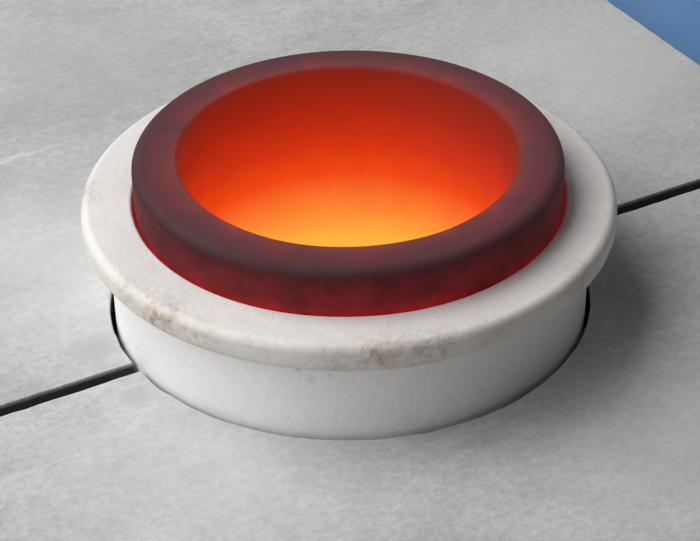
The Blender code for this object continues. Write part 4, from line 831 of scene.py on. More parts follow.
def boardFinish(look):
    material, tree, shader, place = newFinish("cementBoard")
    broad = grain(tree, place, 26, 4, 0.55)
    middle = grain(tree, stretched(tree, place, 1.5, 1, 1), 2.6, 4, 0.6)
    fine = grain(tree, place, 0.55, 3, 0.6)
    fibres = grain(tree, stretched(tree, place, 5, 1, 1, 3), 2.2, 4, 0.6, 0.8)
    streaks = grain(tree, stretched(tree, place, 5.5, 1, 1, 3), 17, 5, 0.52, 0.9)
    line = maths(tree, "ABSOLUTE", maths(tree, "SUBTRACT", streaks, 0.5))
    vein = times(tree, spread(tree, line, 0.035, 0.0), spread(tree, broad, 0.4, 0.6, 0.15, 1.0))
    tone = mixed(tree, spread(tree, broad, 0.35, 0.65), shade(*look["tone"]), shade(*look["dark"]))
    tone = mixed(tree, spread(tree, middle, 0.36, 0.66, 0, 0.35), tone, shade(*look["dark"]))
    tone = mixed(tree, spread(tree, fibres, 0.52, 0.70, 0, 0.08), tone, shade(*look["pale"]))
    tone = mixed(tree, times(tree, vein, 0.14), tone, shade(*look["pale"]))
    mottle = grain(tree, stretched(tree, place, 1.3, 1, 1, 3), 1.5, 4, 0.6)
    tone = tinted(tree, tone, spread(tree, mottle, 0.32, 0.68, 0.88, 1.12))
    tone = tinted(tree, tone, spread(tree, fine, 0.3, 0.7, 0.94, 1.06))
    # Painted light in the pale patches and painted shade in the dark patches, with real smudges among the
    # dark ones
    for kind, over in (("paintedLightSpots", look["pale"]), ("shadeAndSmudges", look["dark"])):
        total = 0.0
        for x, y, size, strength in look[kind]:
            spot = Vector((axis.x + x * mm, axis.y + y * mm, boardTop))
            total = maths(tree, "MAXIMUM", nearSpot(tree, place, spot, size, strength), total)
        tone = mixed(tree, total, tone, shade(*over))
    parts = put(tree, "SeparateXYZ", {0: place}).outputs
    drift = spread(tree, broad, 0.2, 0.8, -look["streakDrift"] * mm, look["streakDrift"] * mm)
    patchy = spread(tree, middle, 0.3, 0.6, 0.2, 1.0)
    for x, y, length, width, strength in look["streaks"]:
        along = maths(tree, "ABSOLUTE", maths(tree, "SUBTRACT", parts[0], axis.x + x * mm))
        aside = maths(tree, "SUBTRACT", parts[1], axis.y + y * mm)
        aside = maths(tree, "ABSOLUTE", maths(tree, "ADD", aside, drift))
        lengthwise = eased(tree, along, length * mm, length * 0.3 * mm)
        band = times(tree, lengthwise, eased(tree, aside, width * mm, 0), patchy, strength)
        tone = mixed(tree, band, tone, shade(*look["pale"]))
    specks = spread(tree, grain(tree, place, 1.3, 3, 0.7), 0.66, 0.74, 0, 0.5)
    tone = mixed(tree, specks, tone, shade(*look["pit"]))
    # Painted highlight: the board's edges are painted paler, as if lit where they round over
    edge = times(tree, edgeMask(tree, 1.2), spread(tree, middle, 0.4, 0.6, 0.2, 0.8))
    tone = mixed(tree, edge, tone, shade(*look["pale"]))
    # Painted shade: the cut walls of the seam and of the round hole are painted dark, where shade falls in
    # the gaps
    fromSeam = maths(tree, "ABSOLUTE", maths(tree, "SUBTRACT", parts[1], seamLine))
    level = put(tree, "CombineXYZ", {0: parts[0], 1: parts[1]}).outputs[0]
    fromAxis = put(tree, "VectorMath", {0: level, 1: axis}, operation="DISTANCE").outputs["Value"]
    onSeam = spread(tree, fromSeam, (look["seamShadeWidth"] + 0.4) * mm, look["seamShadeWidth"] * mm)
    biteShadeReach = look["holeRadius"] + look["biteShadeReach"]
    onBite = spread(tree, fromAxis, (biteShadeReach + 0.5) * mm, biteShadeReach * mm)
    low = spread(tree, parts[2], boardTop - 0.4 * mm, boardTop - 1.3 * mm)
    deeper = spread(tree, parts[2], boardTop - 0.9 * mm, boardTop - 2.6 * mm)
    gapShade = maths(tree, "MAXIMUM", times(tree, onSeam, low), times(tree, onBite, deeper))
    tone = mixed(tree, times(tree, gapShade, 0.96), tone, shade(*look["sootAndGapShade"]))
    rough = spread(tree, middle, 0.3, 0.7, 0.78, 0.92)
    join(tree, shader, Base_Color=tone, Roughness=rough, Specular_IOR_Level=0.3)
    join(tree, shader, Normal=relief(tree, [(middle, 0.10), (fine, 0.035), (fibres, 0.06), (vein, 0.03)]))
    return material


def boardOutline(half, look):
    # Points along the outer edges, the seam and the round bite, the board on the left of the way
    low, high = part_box(half + "_board")
    inner, outer = (high.y, low.y) if half == "front" else (low.y, high.y)
    radius = look["holeRadius"] * mm
    start = math.asin((inner - axis.y) / radius)
    end = -math.pi - start if half == "front" else math.pi - start
    steps = int(abs(end - start) * radius / (look["pitch"] * mm))
    turns = [start + (end - start) * step / steps for step in range(steps + 1)]
    bite = [Vector((axis.x + radius * math.cos(turn), axis.y + radius * math.sin(turn))) for turn in turns]
    stops = [bite[-1]]
    for x, y in ((low.x, inner), (low.x, outer), (high.x, outer), (high.x, inner)):
        stops.append(Vector((x, y)))
    stops.append(bite[0])
    stops = filleted(stops, [0, 0.5 * mm, 2.0 * mm, 2.0 * mm, 0.5 * mm, 0], closed=False)
    outline = []
    for here, there in zip(stops, stops[1:]):
        count = max(1, int((there - here).length / (2 * look["pitch"] * mm)))
        outline += [here.lerp(there, step / count) for step in range(count)]
    outline += bite[:-1]
    return outline if loopArea(outline) > 0 else outline[::-1]


def makeBoards(look):
    for number, half in enumerate(("front", "rear")):
        outline = boardOutline(half, look)
        low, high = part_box(half + "_board")
        uneven = [noise.noise(Vector((p.x, p.y, number)) * 220) for p in outline]
        wide = [(0.55 + 0.35 * value) * look["edge"] * mm for value in uneven]
        deep = list(wide)
        for x, y, reach, width, depth in look["chips"]:
            spot = Vector((axis.x + x * mm, axis.y + y * mm))
            for index, point in enumerate(outline):
                share = max(0.0, 1 - (point - spot).length / (reach * mm)) ** 0.7
                rough = 0.7 + 0.5 * noise.noise(Vector((point.x, point.y, 3)) * 900)
                wide[index] += width * mm * rough * share
                deep[index] += depth * mm * rough * share
        outline = inset(outline, [look["ragged"] * mm * (1 + value) for value in uneven])
        holes = [smoothLoop(loop, 0, 16) for loop in faceLoops(half + "_board", Vector((0, 0, 1)))[1:]]
        edge = (wide, deep, look["edge"] * 0.6 * mm)
        dress(half + "_board", sheet([outline, *holes], low.z, high.z, edge), sharp=30)


# Sheet steel with blue powder coat
caseLook = {
    "deckCorner": 2.5,
    "deckEdge": 0.8,
    "panelCorner": 1.2,
    "panelEdge": 0.45,
    "ventCorner": 1.9,            # rounds the ends of the vent slots
    "paint": {
        "tone": (68, 124, 178), "patch": (60, 114, 168), "patchSize": 40, "patchShare": 0.7,
        "speck": 0.03, "speckSize": 0.5, "rough": 0.42, "roughSpread": 0.07,
        "bumps": ((1.1, 0.012), (0.35, 0.004)), "worn": (120, 150, 186), "wornWidth": 0.6, "wornShare": 0.5,
        "dirt": (84, 100, 122), "dirtShare": 0.25, "dirtSize": 46,
    },
}


def makeCase(look):
    cutSheet("deck", (0, 0, 1), look["deckCorner"], look["deckEdge"])
    for name in ("front_ledge", "rear_ledge", "left_ledge", "base_plate"):
        cutSheet(name, (0, 0, 1), look["panelCorner"], look["panelEdge"])
    cutSheet("front_panel", (0, -1, 0), look["panelCorner"], look["panelEdge"])
    cutSheet("rear_panel", (0, 1, 0), look["panelCorner"], look["panelEdge"])
    cutSheet("left_panel", (-1, 0, 0), look["ventCorner"], look["panelEdge"])
    cutSheet("right_panel", (1, 0, 0), look["ventCorner"], look["panelEdge"])
    cutSheet("partition", (1, 0, 0), look["panelCorner"], look["panelEdge"])


# Lifting handles and rubber feet
handleLook = {"rod": 5.0, "bend": 14.0, "collarRadius": 8.4, "collarHeight": 2.8}


def makeHandles(look):
    rod = look["rod"] * mm
    for name, side in (("left_handle", "left"), ("right_handle", "right")):
        low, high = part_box(name)
        foot, far = (high.x, low.x + rod) if side == "left" else (low.x, high.x - rod)
        z = (low.z + high.z) / 2
        ends = (low.y + rod, high.y - rod)
        corners = ((foot, ends[0]), (far, ends[0]), (far, ends[1]), (foot, ends[1]))
        line = filleted([Vector(corner) for corner in corners], [look["bend"] * mm] * 4, closed=False)
        bar = swept([Vector((x, y, z)) for x, y in line], rod, 28)
        height = look["collarHeight"]
        wide = look["collarRadius"]
        collar = [(0, 0, 0), (wide, 0, 0.3), (wide, 1.0, 0.6)]
        collar += [(look["rod"] + 0.9, height, 0.8), (0, height, 0)]
        feet = [(turned(rounded(collar), 40), Matrix.Translation((foot, y, z)) @ facing[side]) for y in ends]
        dress(name, together(bar, *feet))


footLook = {"toe": 12.0, "top": 15.0, "well": 5.5, "wellDepth": 7.0}


def makeFeet(look):
    for name in ("front_left_foot", "front_right_foot", "rear_left_foot", "rear_right_foot"):
        low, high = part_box(name)
        height = (high.z - low.z) / mm
        well = look["wellDepth"]
        corners = [(0, well, 0), (look["well"], well, 0.4), (look["well"], 0, 0.8), (look["toe"], 0, 1.8)]
        corners += [(look["top"], height, 0.8), (0, height, 0)]
        middle = middleOf(name)
        dress(name, turned(rounded(corners), 64), origin=(middle.x, middle.y, low.z))
        place = Matrix.Translation((middle.x, middle.y, low.z + well * mm)) @ Matrix.Rotation(math.pi, 4, "X")
        addMesh(name + "_screw", screwMesh, "base_plate", None, place)


# Pan-head screws with a cross recess, in the holes of the sheets
screwLook = {
    "radius": 3.7, "height": 2.3, "dome": 1.7, "crossLength": 4.2, "crossWidth": 0.9, "crossFloor": 0.9,
    "sheetHole": 2.3, "boardHole": 2.4, "washer": 5.2, "washerHeight": 0.9,
}


def drawScrew(look):
    half, thin = look["crossLength"] / 2 * mm, look["crossWidth"] / 2 * mm
    cross = []
    for quarter in range(4):
        turn = Matrix.Rotation(quarter * math.pi / 2, 2)
        cross += [turn @ Vector(point) for point in ((half, -thin), (half, thin), (thin, thin))]
    rim = circle(look["radius"], 32)
    edge = ([look["dome"] * mm] * len(rim), [look["dome"] * 0.8 * mm] * len(rim), 0.12 * mm)
    floor = look["crossFloor"] * mm
    head = sheet([rim], 0.05 * mm, look["height"] * mm, edge, pocket=(hole(cross), floor))
    bmesh.ops.recalc_face_normals(head, faces=head.faces)
    mesh = bpy.data.meshes.new("screw_head")
    head.to_mesh(mesh)
    head.free()
    mesh.shade_smooth()
    mesh.set_sharp_from_angle(angle=math.radians(35))
    mesh.materials.append(finishes["zinc_steel"])
    return mesh


def putScrews(look, node, direction, side, holeRadius, washer=0.0):
    # A screw over each hole of this radius, turned a little differently each time
    low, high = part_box(node)
    direction = Vector(direction)
    normal = max(range(3), key=lambda i: abs(direction[i]))
    across = [i for i in range(3) if i != normal]
    level = high[normal] if direction[normal] > 0 else low[normal]
    number = 0
    for loop in faceLoops(node, direction)[1:]:
        centre, radius = roundLoop(loop)
        if radius is None or abs(radius - holeRadius * mm) > 0.04 * mm:
            continue
        spot = Vector((0, 0, 0))
        spot[normal] = level
        spot[across[0]], spot[across[1]] = centre
        number += 1
        if washer:
            ring = circle(washer, 40), hole(circle(holeRadius, 24))
            shape = slab(ring, 0.02, look["washerHeight"], 0.15)
            addPiece(f"{node}_washer_{number}", shape, "base_plate", origin=spot, side=side)
            spot += direction * look["washerHeight"] * mm
        turn = Matrix.Rotation(math.radians(37 * number + 11), 4, "Z")
        place = Matrix.Translation(spot) @ facing[side] @ turn
        addMesh(f"{node}_screw_{number}", screwMesh, "base_plate", None, place)


def makeScrews(look):
    for half in ("front_board", "rear_board"):
        putScrews(look, half, (0, 0, 1), "up", look["boardHole"], look["washer"])
    putScrews(look, "deck", (0, 0, 1), "up", look["sheetHole"])
    putScrews(look, "front_panel", (0, -1, 0), "front", look["sheetHole"])
    putScrews(look, "rear_panel", (0, 1, 0), "rear", look["sheetHole"])
    putScrews(look, "left_panel", (-1, 0, 0), "left", look["sheetHole"])
    putScrews(look, "right_panel", (1, 0, 0), "right", look["sheetHole"])
    putScrews(look, "fan_guard", (0, 1, 0), "rear", look["boardHole"])


# Panel meter with a red figure display
meterLook = {
    "bezel": 6.0, "bezelCorner": 3.0, "bezelEdge": 1.6,
    "bodyInset": 2.5, "bodyDepth": 58.0, "bodyCorner": 1.0, "bodyEdge": 0.5,
    "lipBorder": 2.6, "lipHeight": 0.8, "lipCorner": 2.4, "lipEdge": 0.3,
    "windowGap": 0.3, "windowCorner": 1.2, "windowEdge": 0.4,
    "barGap": 0.25, "barHeight": 0.12, "barEdge": 0.03,
    "figures": "1085", "figureHeight": 15.0, "figureWidth": 8.4, "stroke": 0.95, "slant": 7.0, "pitch": 15.0,
    "lit": (255, 44, 22), "unlit": (64, 14, 14),
}
segmentEnds = {
    "a": ((0, 2), (1, 2)), "b": ((1, 1), (1, 2)), "c": ((1, 0), (1, 1)), "d": ((0, 0), (1, 0)),
    "e": ((0, 0), (0, 1)), "f": ((0, 1), (0, 2)), "g": ((0, 1), (1, 1)),
}
litSegments = {
    "0": "abcdef", "1": "bc", "2": "abdeg", "3": "abcdg", "4": "bcfg",
    "5": "acdfg", "6": "acdefg", "7": "abc", "8": "abcdefg", "9": "abcdfg",
}


def drawFigures(look, lit, face):
    bars = []
    half = look["stroke"]
    first = -look["pitch"] * (len(look["figures"]) - 1) / 2
    lean = math.tan(math.radians(look["slant"]))
    for number, figure in enumerate(look["figures"]):
        for segment, ends in segmentEnds.items():
            if (segment in litSegments[figure]) != lit:
                continue
            points = []
            for x, y in ends:
                across = first + number * look["pitch"] + (x - 0.5) * look["figureWidth"]
                points.append(Vector((across, (y - 1) * look["figureHeight"] / 2)))
            along = (points[1] - points[0]).normalized()
            aside = Vector((-along.y, along.x)) * half
            start, end = points[0] + along * look["barGap"], points[1] - along * look["barGap"]
            outline = [start, start + along * half - aside, end - along * half - aside]
            outline += [end, end - along * half + aside, start + along * half + aside]
            outline = [Vector((p.x + p.y * lean, p.y)) * mm for p in outline]
            bars.append(slab([outline], face, face + look["barHeight"], look["barEdge"]))
    return together(*bars)


def makeMeter(look):
    origin = onPanel("meter_case")
    low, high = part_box("meter_case")
    width, height = (high.x - low.x) / mm, (high.z - low.z) / mm
    windowLow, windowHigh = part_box("meter_window")
    windowWidth, windowHeight = (windowHigh.x - windowLow.x) / mm, (windowHigh.z - windowLow.z) / mm
    back, face = (frontFace - windowHigh.y) / mm, (frontFace - windowLow.y) / mm
    bezelTop = seatGap + look["bezel"]
    inner = 2 * look["bodyInset"]
    bezel = slab([rectangle(width, height, look["bezelCorner"])], seatGap, bezelTop, look["bezelEdge"])
    bodyOutline = rectangle(width - inner, height - inner, look["bodyCorner"])
    body = slab([bodyOutline], seatGap - look["bodyDepth"], seatGap, look["bodyEdge"])
    border, gap, corner = 2 * look["lipBorder"], look["windowGap"], look["windowCorner"]
    lipOutline = rectangle(windowWidth + border, windowHeight + border, look["lipCorner"])
    lip = [lipOutline, hole(rectangle(windowWidth + gap, windowHeight + gap, corner))]
    raised = slab(lip, bezelTop, bezelTop + look["lipHeight"], look["lipEdge"])
    dress("meter_case", together(bezel, body, raised), origin=origin, side="front")
    window = slab([rectangle(windowWidth, windowHeight, corner)], back, face, look["windowEdge"])
    dress("meter_window", window, origin=origin, side="front")
    for name, lit in (("lit", True), ("unlit", False)):
        tone = look[name]
        glow = {"Emission_Color": shade(*tone), "Emission_Strength": 1.0 if lit else 0.05}
        figureLook = {"tone": tone, "rough": 0.3, "roughSpread": 0.05, "bumps": ((2, 0.005),)}
        finish = surface(name + "Figures", figureLook, **glow)
        figures = drawFigures(look, lit, face)
        addPiece("meter_figures_" + name, figures, "meter_window", finish, origin, "front")


# Three lamps on one strip
lampLook = {
    "radius": 4.6, "height": 3.6, "ringRadius": 5.9, "ringHeight": 1.1, "ringGap": 0.15,
    "strip": 2.5, "stripEdge": 0.6, "bodyRadius": 5.0, "bodyDepth": 20.0,
    "lensFoot": 0.9, "lensSteps": 12, "lensInset": 0.2, "lensRib": 0.12,
}


def makeLamps(look):
    middle = onPanel("lamp_holder")
    low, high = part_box("lamp_holder")
    stripTop = seatGap + look["strip"]
    obround = rectangle((high.x - low.x) / mm, (high.z - low.z) / mm, (high.z - low.z) / mm * 0.49)
    parts = [slab([obround], seatGap, stripTop, look["stripEdge"])]
    body, back = look["bodyRadius"], -look["bodyDepth"]
    for name in ("green_lamp", "amber_lamp", "red_lamp"):
        origin = onPanel(name)
        aside = (origin.x - middle.x) / mm
        ringTop = stripTop + look["ringHeight"]
        outer, bore = look["ringRadius"], look["radius"] + look["ringGap"]
        corners = [(outer, stripTop, 0), (outer, ringTop, 0.5), (bore, ringTop, 0.3), (bore, stripTop, 0)]
        parts.append((turned(rounded(corners), 48, closed=True), shifted(aside)))
        tail = [(0, back, 0), (body, back, 0.5), (body, seatGap, 0), (0, seatGap, 0)]
        parts.append((turned(rounded(tail), 32), shifted(aside)))
        radius, base, foot = look["radius"], stripTop + seatGap, look["lensFoot"]
        lens = [Vector((0, base)), Vector((radius, base)), Vector((radius, base + foot))]
        for step in range(1, look["lensSteps"]):
            turn = math.radians(90 * step / look["lensSteps"])
            reach = (radius - look["lensInset"]) * math.cos(turn) + look["lensRib"] * (step % 2)
            lens.append(Vector((reach, base + foot + (look["height"] - foot) * math.sin(turn))))
        lens.append(Vector((0, base + look["height"])))
        dress(name, turned([point * mm for point in lens], 48), origin=origin, side="front", sharp=60)
    dress("lamp_holder", together(*parts), origin=middle, side="front")


# Power knob over its dial
knobLook = {
    "skirt": 16.0, "skirtHeight": 3.0, "grip": 12.0, "height": 21.0, "flutes": 18, "fluteDepth": 0.9,
    "crownRound": 1.4, "fluteSteps": 8, "startAngle": 225, "sweep": 270,
    "figureSize": 3.4, "figureReach": 22.0,
    "ticks": 50, "tickStart": 17.4, "longTick": 2.4, "shortTick": 1.3, "tickWidth": 0.35,
    "lastFigure": 10, "dialBore": 4.9, "inkHeight": 0.06, "pointerWidth": 1.1,
}


def makeDial(look):
    origin = onPanel("dial_plate")
    low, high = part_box("dial_plate")
    radius = (high.x - low.x) / 2 / mm
    face = (frontFace - low.y) / mm
    plate = slab([circle(radius, 96), hole(circle(look["dialBore"], 32))], seatGap, face, 0.25)
    dress("dial_plate", plate, origin=origin, side="front")
    marks = []
    ink = look["inkHeight"]
    for step in range(look["ticks"] + 1):
        turn = math.radians(look["startAngle"] - look["sweep"] * step / look["ticks"])
        isLong = step * look["lastFigure"] % look["ticks"] == 0
        length = look["longTick"] if isLong else look["shortTick"]
        width = look["tickWidth"] * (1.5 if isLong else 1)
        bar = slab([rectangle(length, width, 0, look["tickStart"] + length / 2)], face, face + ink, 0.01)
        marks.append((bar, Matrix.Rotation(turn, 4, "Z")))
    for number in range(look["lastFigure"] + 1):
        turn = math.radians(look["startAngle"] - look["sweep"] * number / look["lastFigure"])
        reach = look["figureReach"]
        figure = lettering(str(number), look["figureSize"], ink)
        marks.append((figure, shifted(reach * math.cos(turn), reach * math.sin(turn), face + ink / 2)))
    black = surface("dialInk", {"tone": (24, 25, 28), "rough": 0.6, "bumps": ((0.6, 0.002),)})
    addPiece("dial_marks", together(*marks), "dial_plate", black, origin, "front")


def makeKnob(look):
    middle = middleOf("power_knob")
    origin = Vector((middle.x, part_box("power_knob")[1].y, middle.z))
    grip, top, skirt, ledge = look["grip"], look["height"], look["skirt"], look["skirtHeight"]
    fluteFoot = ledge + 1.0

    def fluted(out, turn, height):
        level = height / mm
        if level < fluteFoot or level > top - 0.7 or out < (grip - 2) * mm:
            return out
        cut = max(0.0, math.cos(turn * look["flutes"])) ** 0.7
        fade = min(1.0, (level - fluteFoot) / 1.5, (top - 0.7 - level) / 1.0)
        return out - look["fluteDepth"] * mm * cut * fade

    corners = [(0, 0, 0), (skirt, 0, 0.3), (skirt, ledge, 0.9), (grip + 0.2, ledge + 0.4, 1.2)]
    steps, crown = look["fluteSteps"], look["crownRound"]
    for step in range(steps + 1):
        corners.append((grip, fluteFoot + step * (top - crown - fluteFoot) / steps, 0))
    corners += [(grip, top, crown), (grip - 2.6, top, 0.3), (grip - 3.0, top - 0.5, 0.3), (0, top - 0.5, 0)]
    turn = facing["front"] @ Matrix.Rotation(math.radians(look["startAngle"]), 4, "Z")
    dress("power_knob", turned(rounded(corners), 180, reshape=fluted), origin=origin, turn=turn, sharp=45)
    thin = look["pointerWidth"]
    onTop = slab([rectangle(2.2, thin, 0.3, grip - 1.5)], top - 0.02, top + 0.08, 0.04)
    onCap = slab([rectangle(6.4, thin, 0.3, 5.6)], top - 0.52, top - 0.42, 0.04)
    onSkirt = slab([rectangle(2.4, thin, 0.3, skirt - 2.1)], ledge - 0.02, ledge + 0.12, 0.04)
    white = surface("pointerPaint", {"tone": (236, 236, 232), "rough": 0.5, "bumps": ((0.8, 0.004),)})
    addPiece("knob_pointer", together(onTop, onCap, onSkirt), "power_knob", white, origin, turn=turn)


# Start and stop buttons in their collars
buttonLook = {
    "stem": 9.5, "stemBack": -8.0, "startTop": 10.0, "headBack": 10.0, "headTop": 17.0, "head": 15.0,
    "collar": 13.5, "collarHeight": 5.0, "collarBore": 9.9, "markWidth": 1.0, "markLength": 5.6,
}


def makeButtons(look):
    stem, back, top = look["stem"], look["stemBack"], look["startTop"]
    start = [(0, back, 0), (stem, back, 0.3), (stem, top, 1.4), (stem - 2.6, top, 0.6)]
    start += [(stem - 3.4, top - 0.7, 0.8), (0, top - 0.9, 0)]
    headBack, headTop, head = look["headBack"], look["headTop"], look["head"]
    stop = [(0, back, 0), (stem, back, 0.3), (stem, headBack, 0.8), (head - 1, headBack, 0.6)]
    stop += [(head, headBack + 1.6, 1.2), (head - 0.3, headTop - 2.2, 1.6), (head - 4.0, headTop - 0.5, 4.0)]
    stop.append((0, headTop, 0))
    for name, corners in (("start", start), ("stop", stop)):
        middle = middleOf(name + "_button")
        origin = Vector((middle.x, frontFace - seatGap * mm, middle.z))
        dress(name + "_button", turned(rounded(corners), 72), origin=origin, side="front")
        outer, bore, tall = look["collar"], look["collarBore"], look["collarHeight"]
        ring = [(bore, 0, 0), (outer, 0, 0.3), (outer, tall - 1.6, 0.5), (outer - 1.6, tall, 0.7)]
        ring += [(bore + 0.8, tall, 0.5), (bore, tall - 0.8, 0.3)]
        dress(name + "_collar", turned(rounded(ring), 72, closed=True), origin=origin, side="front")
    mark = slab([rectangle(look["markWidth"], look["markLength"], 0.3)], top - 0.93, top - 0.72, 0.05)
    white = surface("buttonPaint", {"tone": (238, 238, 234), "rough": 0.5, "bumps": ((0.8, 0.004),)})
    middle = middleOf("start_button")
    origin = Vector((middle.x, frontFace - seatGap * mm, middle.z))
    addPiece("start_mark", mark, "start_button", white, origin, "front")


# Rocker switch
rockerLook = {
    "rim": 2.5, "proud": 2.5, "bodyDepth": 26.0, "wellDepth": 12.0, "pivotDepth": 2.0,
    "halfLength": 11.4, "endProud": 6.2, "middleProud": 4.2, "back": 6.0, "tilt": 10.0, "clearance": 0.4,
    "frameCorner": 2.6, "frameEdge": 0.6, "tubeCorner": 1.0, "wellCorner": 0.6, "tipRound": 0.8,
    "barLength": 3.6, "barWidth": 0.9, "ringRadius": 2.1, "ringBore": 1.35, "markShare": 0.55, "halfSteps": 8,
}


def makeRocker(look):
    origin = onPanel("rocker_frame")
    low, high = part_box("rocker_frame")
    width, height = (high.x - low.x) / mm, (high.z - low.z) / mm
    innerWidth, innerHeight = width - 2 * look["rim"], height - 2 * look["rim"]
    wellWidth, wellHeight = innerWidth - look["rim"], innerHeight - look["rim"] / 2
    face = seatGap + look["proud"]
    floor = face - look["wellDepth"]
    well = hole(rectangle(wellWidth, wellHeight, look["wellCorner"]))
    bezel = slab([rectangle(width, height, look["frameCorner"]), well], seatGap, face, look["frameEdge"])
    outline = rectangle(innerWidth, innerHeight, look["tubeCorner"])
    tube = slab([outline, well], floor, seatGap, 0.05)
    rear = slab([outline], seatGap - look["bodyDepth"], floor, 0.3)
    dress("rocker_frame", together(bezel, tube, rear), origin=origin, side="front")
    long, end, dip = look["halfLength"], look["endProud"], look["middleProud"]
    top = []
    last = 2 * look["halfSteps"]
    for step in range(last + 1):
        share = 1 - step / look["halfSteps"]
        top.append(Vector((long * share, dip + (end - dip) * share * share)) * mm)
    outline = [*top, *arc(look["back"], 180, 360, last)]
    tips = [look["tipRound"] * mm if index in (0, last) else 0 for index in range(len(outline))]
    outline = filleted(outline, tips)
    half = wellWidth / 2 - look["clearance"]
    body = sheet([outline], -half * mm, half * mm, 0.5 * mm)
    # Drawn X becomes up, drawn Y points out of the panel and drawn Z runs across
    across = Matrix(((0, 0, 1, 0), (0, -1, 0, 0), (1, 0, 0, 0), (0, 0, 0, 1)))
    pivot = Vector((origin.x, frontFace - (face - look["pivotDepth"]) * mm, origin.z))
    turn = Matrix.Rotation(-math.radians(look["tilt"]), 4, "X") @ across
    dress("power_rocker", body, origin=pivot, turn=turn)
    marks = []
    lay = Matrix.Rotation(-math.pi / 2, 4, "X")
    bar = [rectangle(look["barLength"], look["barWidth"], 0.2)]
    ring = [circle(look["ringRadius"], 32), hole(circle(look["ringBore"], 32))]
    for outlines, place in ((bar, look["markShare"]), (ring, -look["markShare"])):
        tip = Matrix.Rotation(math.atan2(2 * (end - dip) * place, long), 4, "Z")
        out = dip + (end - dip) * place * place
        marks.append((slab(outlines, -0.03, 0.1, 0.02), shifted(long * place, out) @ tip @ lay))
    white = surface("rockerPaint", {"tone": (238, 238, 234), "rough": 0.5, "bumps": ((0.8, 0.004),)})
    addPiece("rocker_marks", together(*marks), "power_rocker", white, pivot, turn=turn)


# Cooling fan and its guard
fanLook = {
    "size": 80.0, "depth": 25.0, "bore": 37.5, "duct": 39.4, "flange": 4.0, "corner": 6.0,
    "boss": 15.0, "strut": 5.0, "strutDepth": 4.0, "screwPlace": 35.75, "screwHole": 2.4,
    "hub": 15.4, "tip": 36.0, "blades": 7, "rootPitch": 46.0, "tipPitch": 30.0,
    "rootChord": 13.0, "tipChord": 20.0, "camber": 1.5, "thickness": 1.3, "sweep": 14.0,
    "guardCentre": 11.0, "guardRings": 3, "guardBar": 3.0, "guardEdge": 0.4,
    "slotCorner": 0.9, "slotSteps": 20, "frameEdge": 0.5, "strutEdge": 0.6,
}


def fanScrewHoles(look):
    reach = look["screwPlace"]
    return [hole(circle(look["screwHole"], 24, x, y)) for x in (-reach, reach) for y in (-reach, reach)]


def drawBlade(look, middle):
    sections = []
    for station in range(9):
        share = station / 8
        radius = look["hub"] - 0.9 + (look["tip"] - look["hub"] + 0.9) * share
        pitch = math.radians(look["rootPitch"] + (look["tipPitch"] - look["rootPitch"]) * share)
        chord = look["rootChord"] + (look["tipChord"] - look["rootChord"]) * share
        section = []
        for step in range(24):
            turn = 2 * math.pi * step / 24
            along = math.cos(turn)
            off = look["camber"] * (1 - along * along)
            off += look["thickness"] / 2 * math.sin(turn) * (1.1 - 0.3 * along)
            tangent = chord / 2 * along * math.cos(pitch) - off * math.sin(pitch)
            rise = chord / 2 * along * math.sin(pitch) + off * math.cos(pitch)
            angle = tangent / radius + math.radians(look["sweep"]) * share * share
            section.append(Vector((radius * math.cos(angle), radius * math.sin(angle), middle + rise)) * mm)
        sections.append(section)
    return lofted(sections)


def makeFan(look):
    middle = middleOf("fan_frame")
    origin = Vector((middle.x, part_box("fan_frame")[0].y, middle.z))
    square = rectangle(look["size"], look["size"], look["corner"])
    holes = [hole(circle(look["bore"], 96)), *fanScrewHoles(look)]
    depth, flange, bore, duct = look["depth"], look["flange"], look["bore"], look["duct"]
    edge = look["frameEdge"]
    parts = [slab([square, *holes], 0, flange, edge), slab([square, *holes], depth - flange, depth, edge)]
    ring = [(bore, flange), (duct, flange), (duct, depth - flange), (bore, depth - flange)]
    parts.append(turned([Vector(point) * mm for point in ring], 96, closed=True))
    parts.append(slab([circle(look["boss"], 48)], 0, look["strutDepth"], edge))
    length = bore - look["boss"] + 1.5
    outline = rectangle(length, look["strut"], 0, look["boss"] + length / 2 - 0.5)
    for quarter in range(4):
        bar = slab([outline], 0.3, look["strutDepth"] - 0.3, look["strutEdge"])
        parts.append((bar, Matrix.Rotation(quarter * math.pi / 2, 4, "Z")))
    dress("fan_frame", together(*parts), origin=origin, side="rear")
    rotorLow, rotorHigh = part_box("fan_rotor")
    length = (rotorHigh.y - rotorLow.y) / mm
    hub = look["hub"]
    cap = [(0, 0, 0), (hub, 0, 0.4), (hub, length, 2.4), (hub * 0.62, length, 0.4)]
    cap += [(hub * 0.6, length - 0.6, 0.3), (0, length - 0.6, 0)]
    blades = [turned(rounded(cap), 72)]
    for number in range(look["blades"]):
        turn = Matrix.Rotation(2 * math.pi * number / look["blades"], 4, "Z")
        blades.append((drawBlade(look, length / 2), turn))
    rotorOrigin = Vector((middle.x, rotorLow.y, middle.z))
    dress("fan_rotor", together(*blades), origin=rotorOrigin, side="rear", sharp=50)


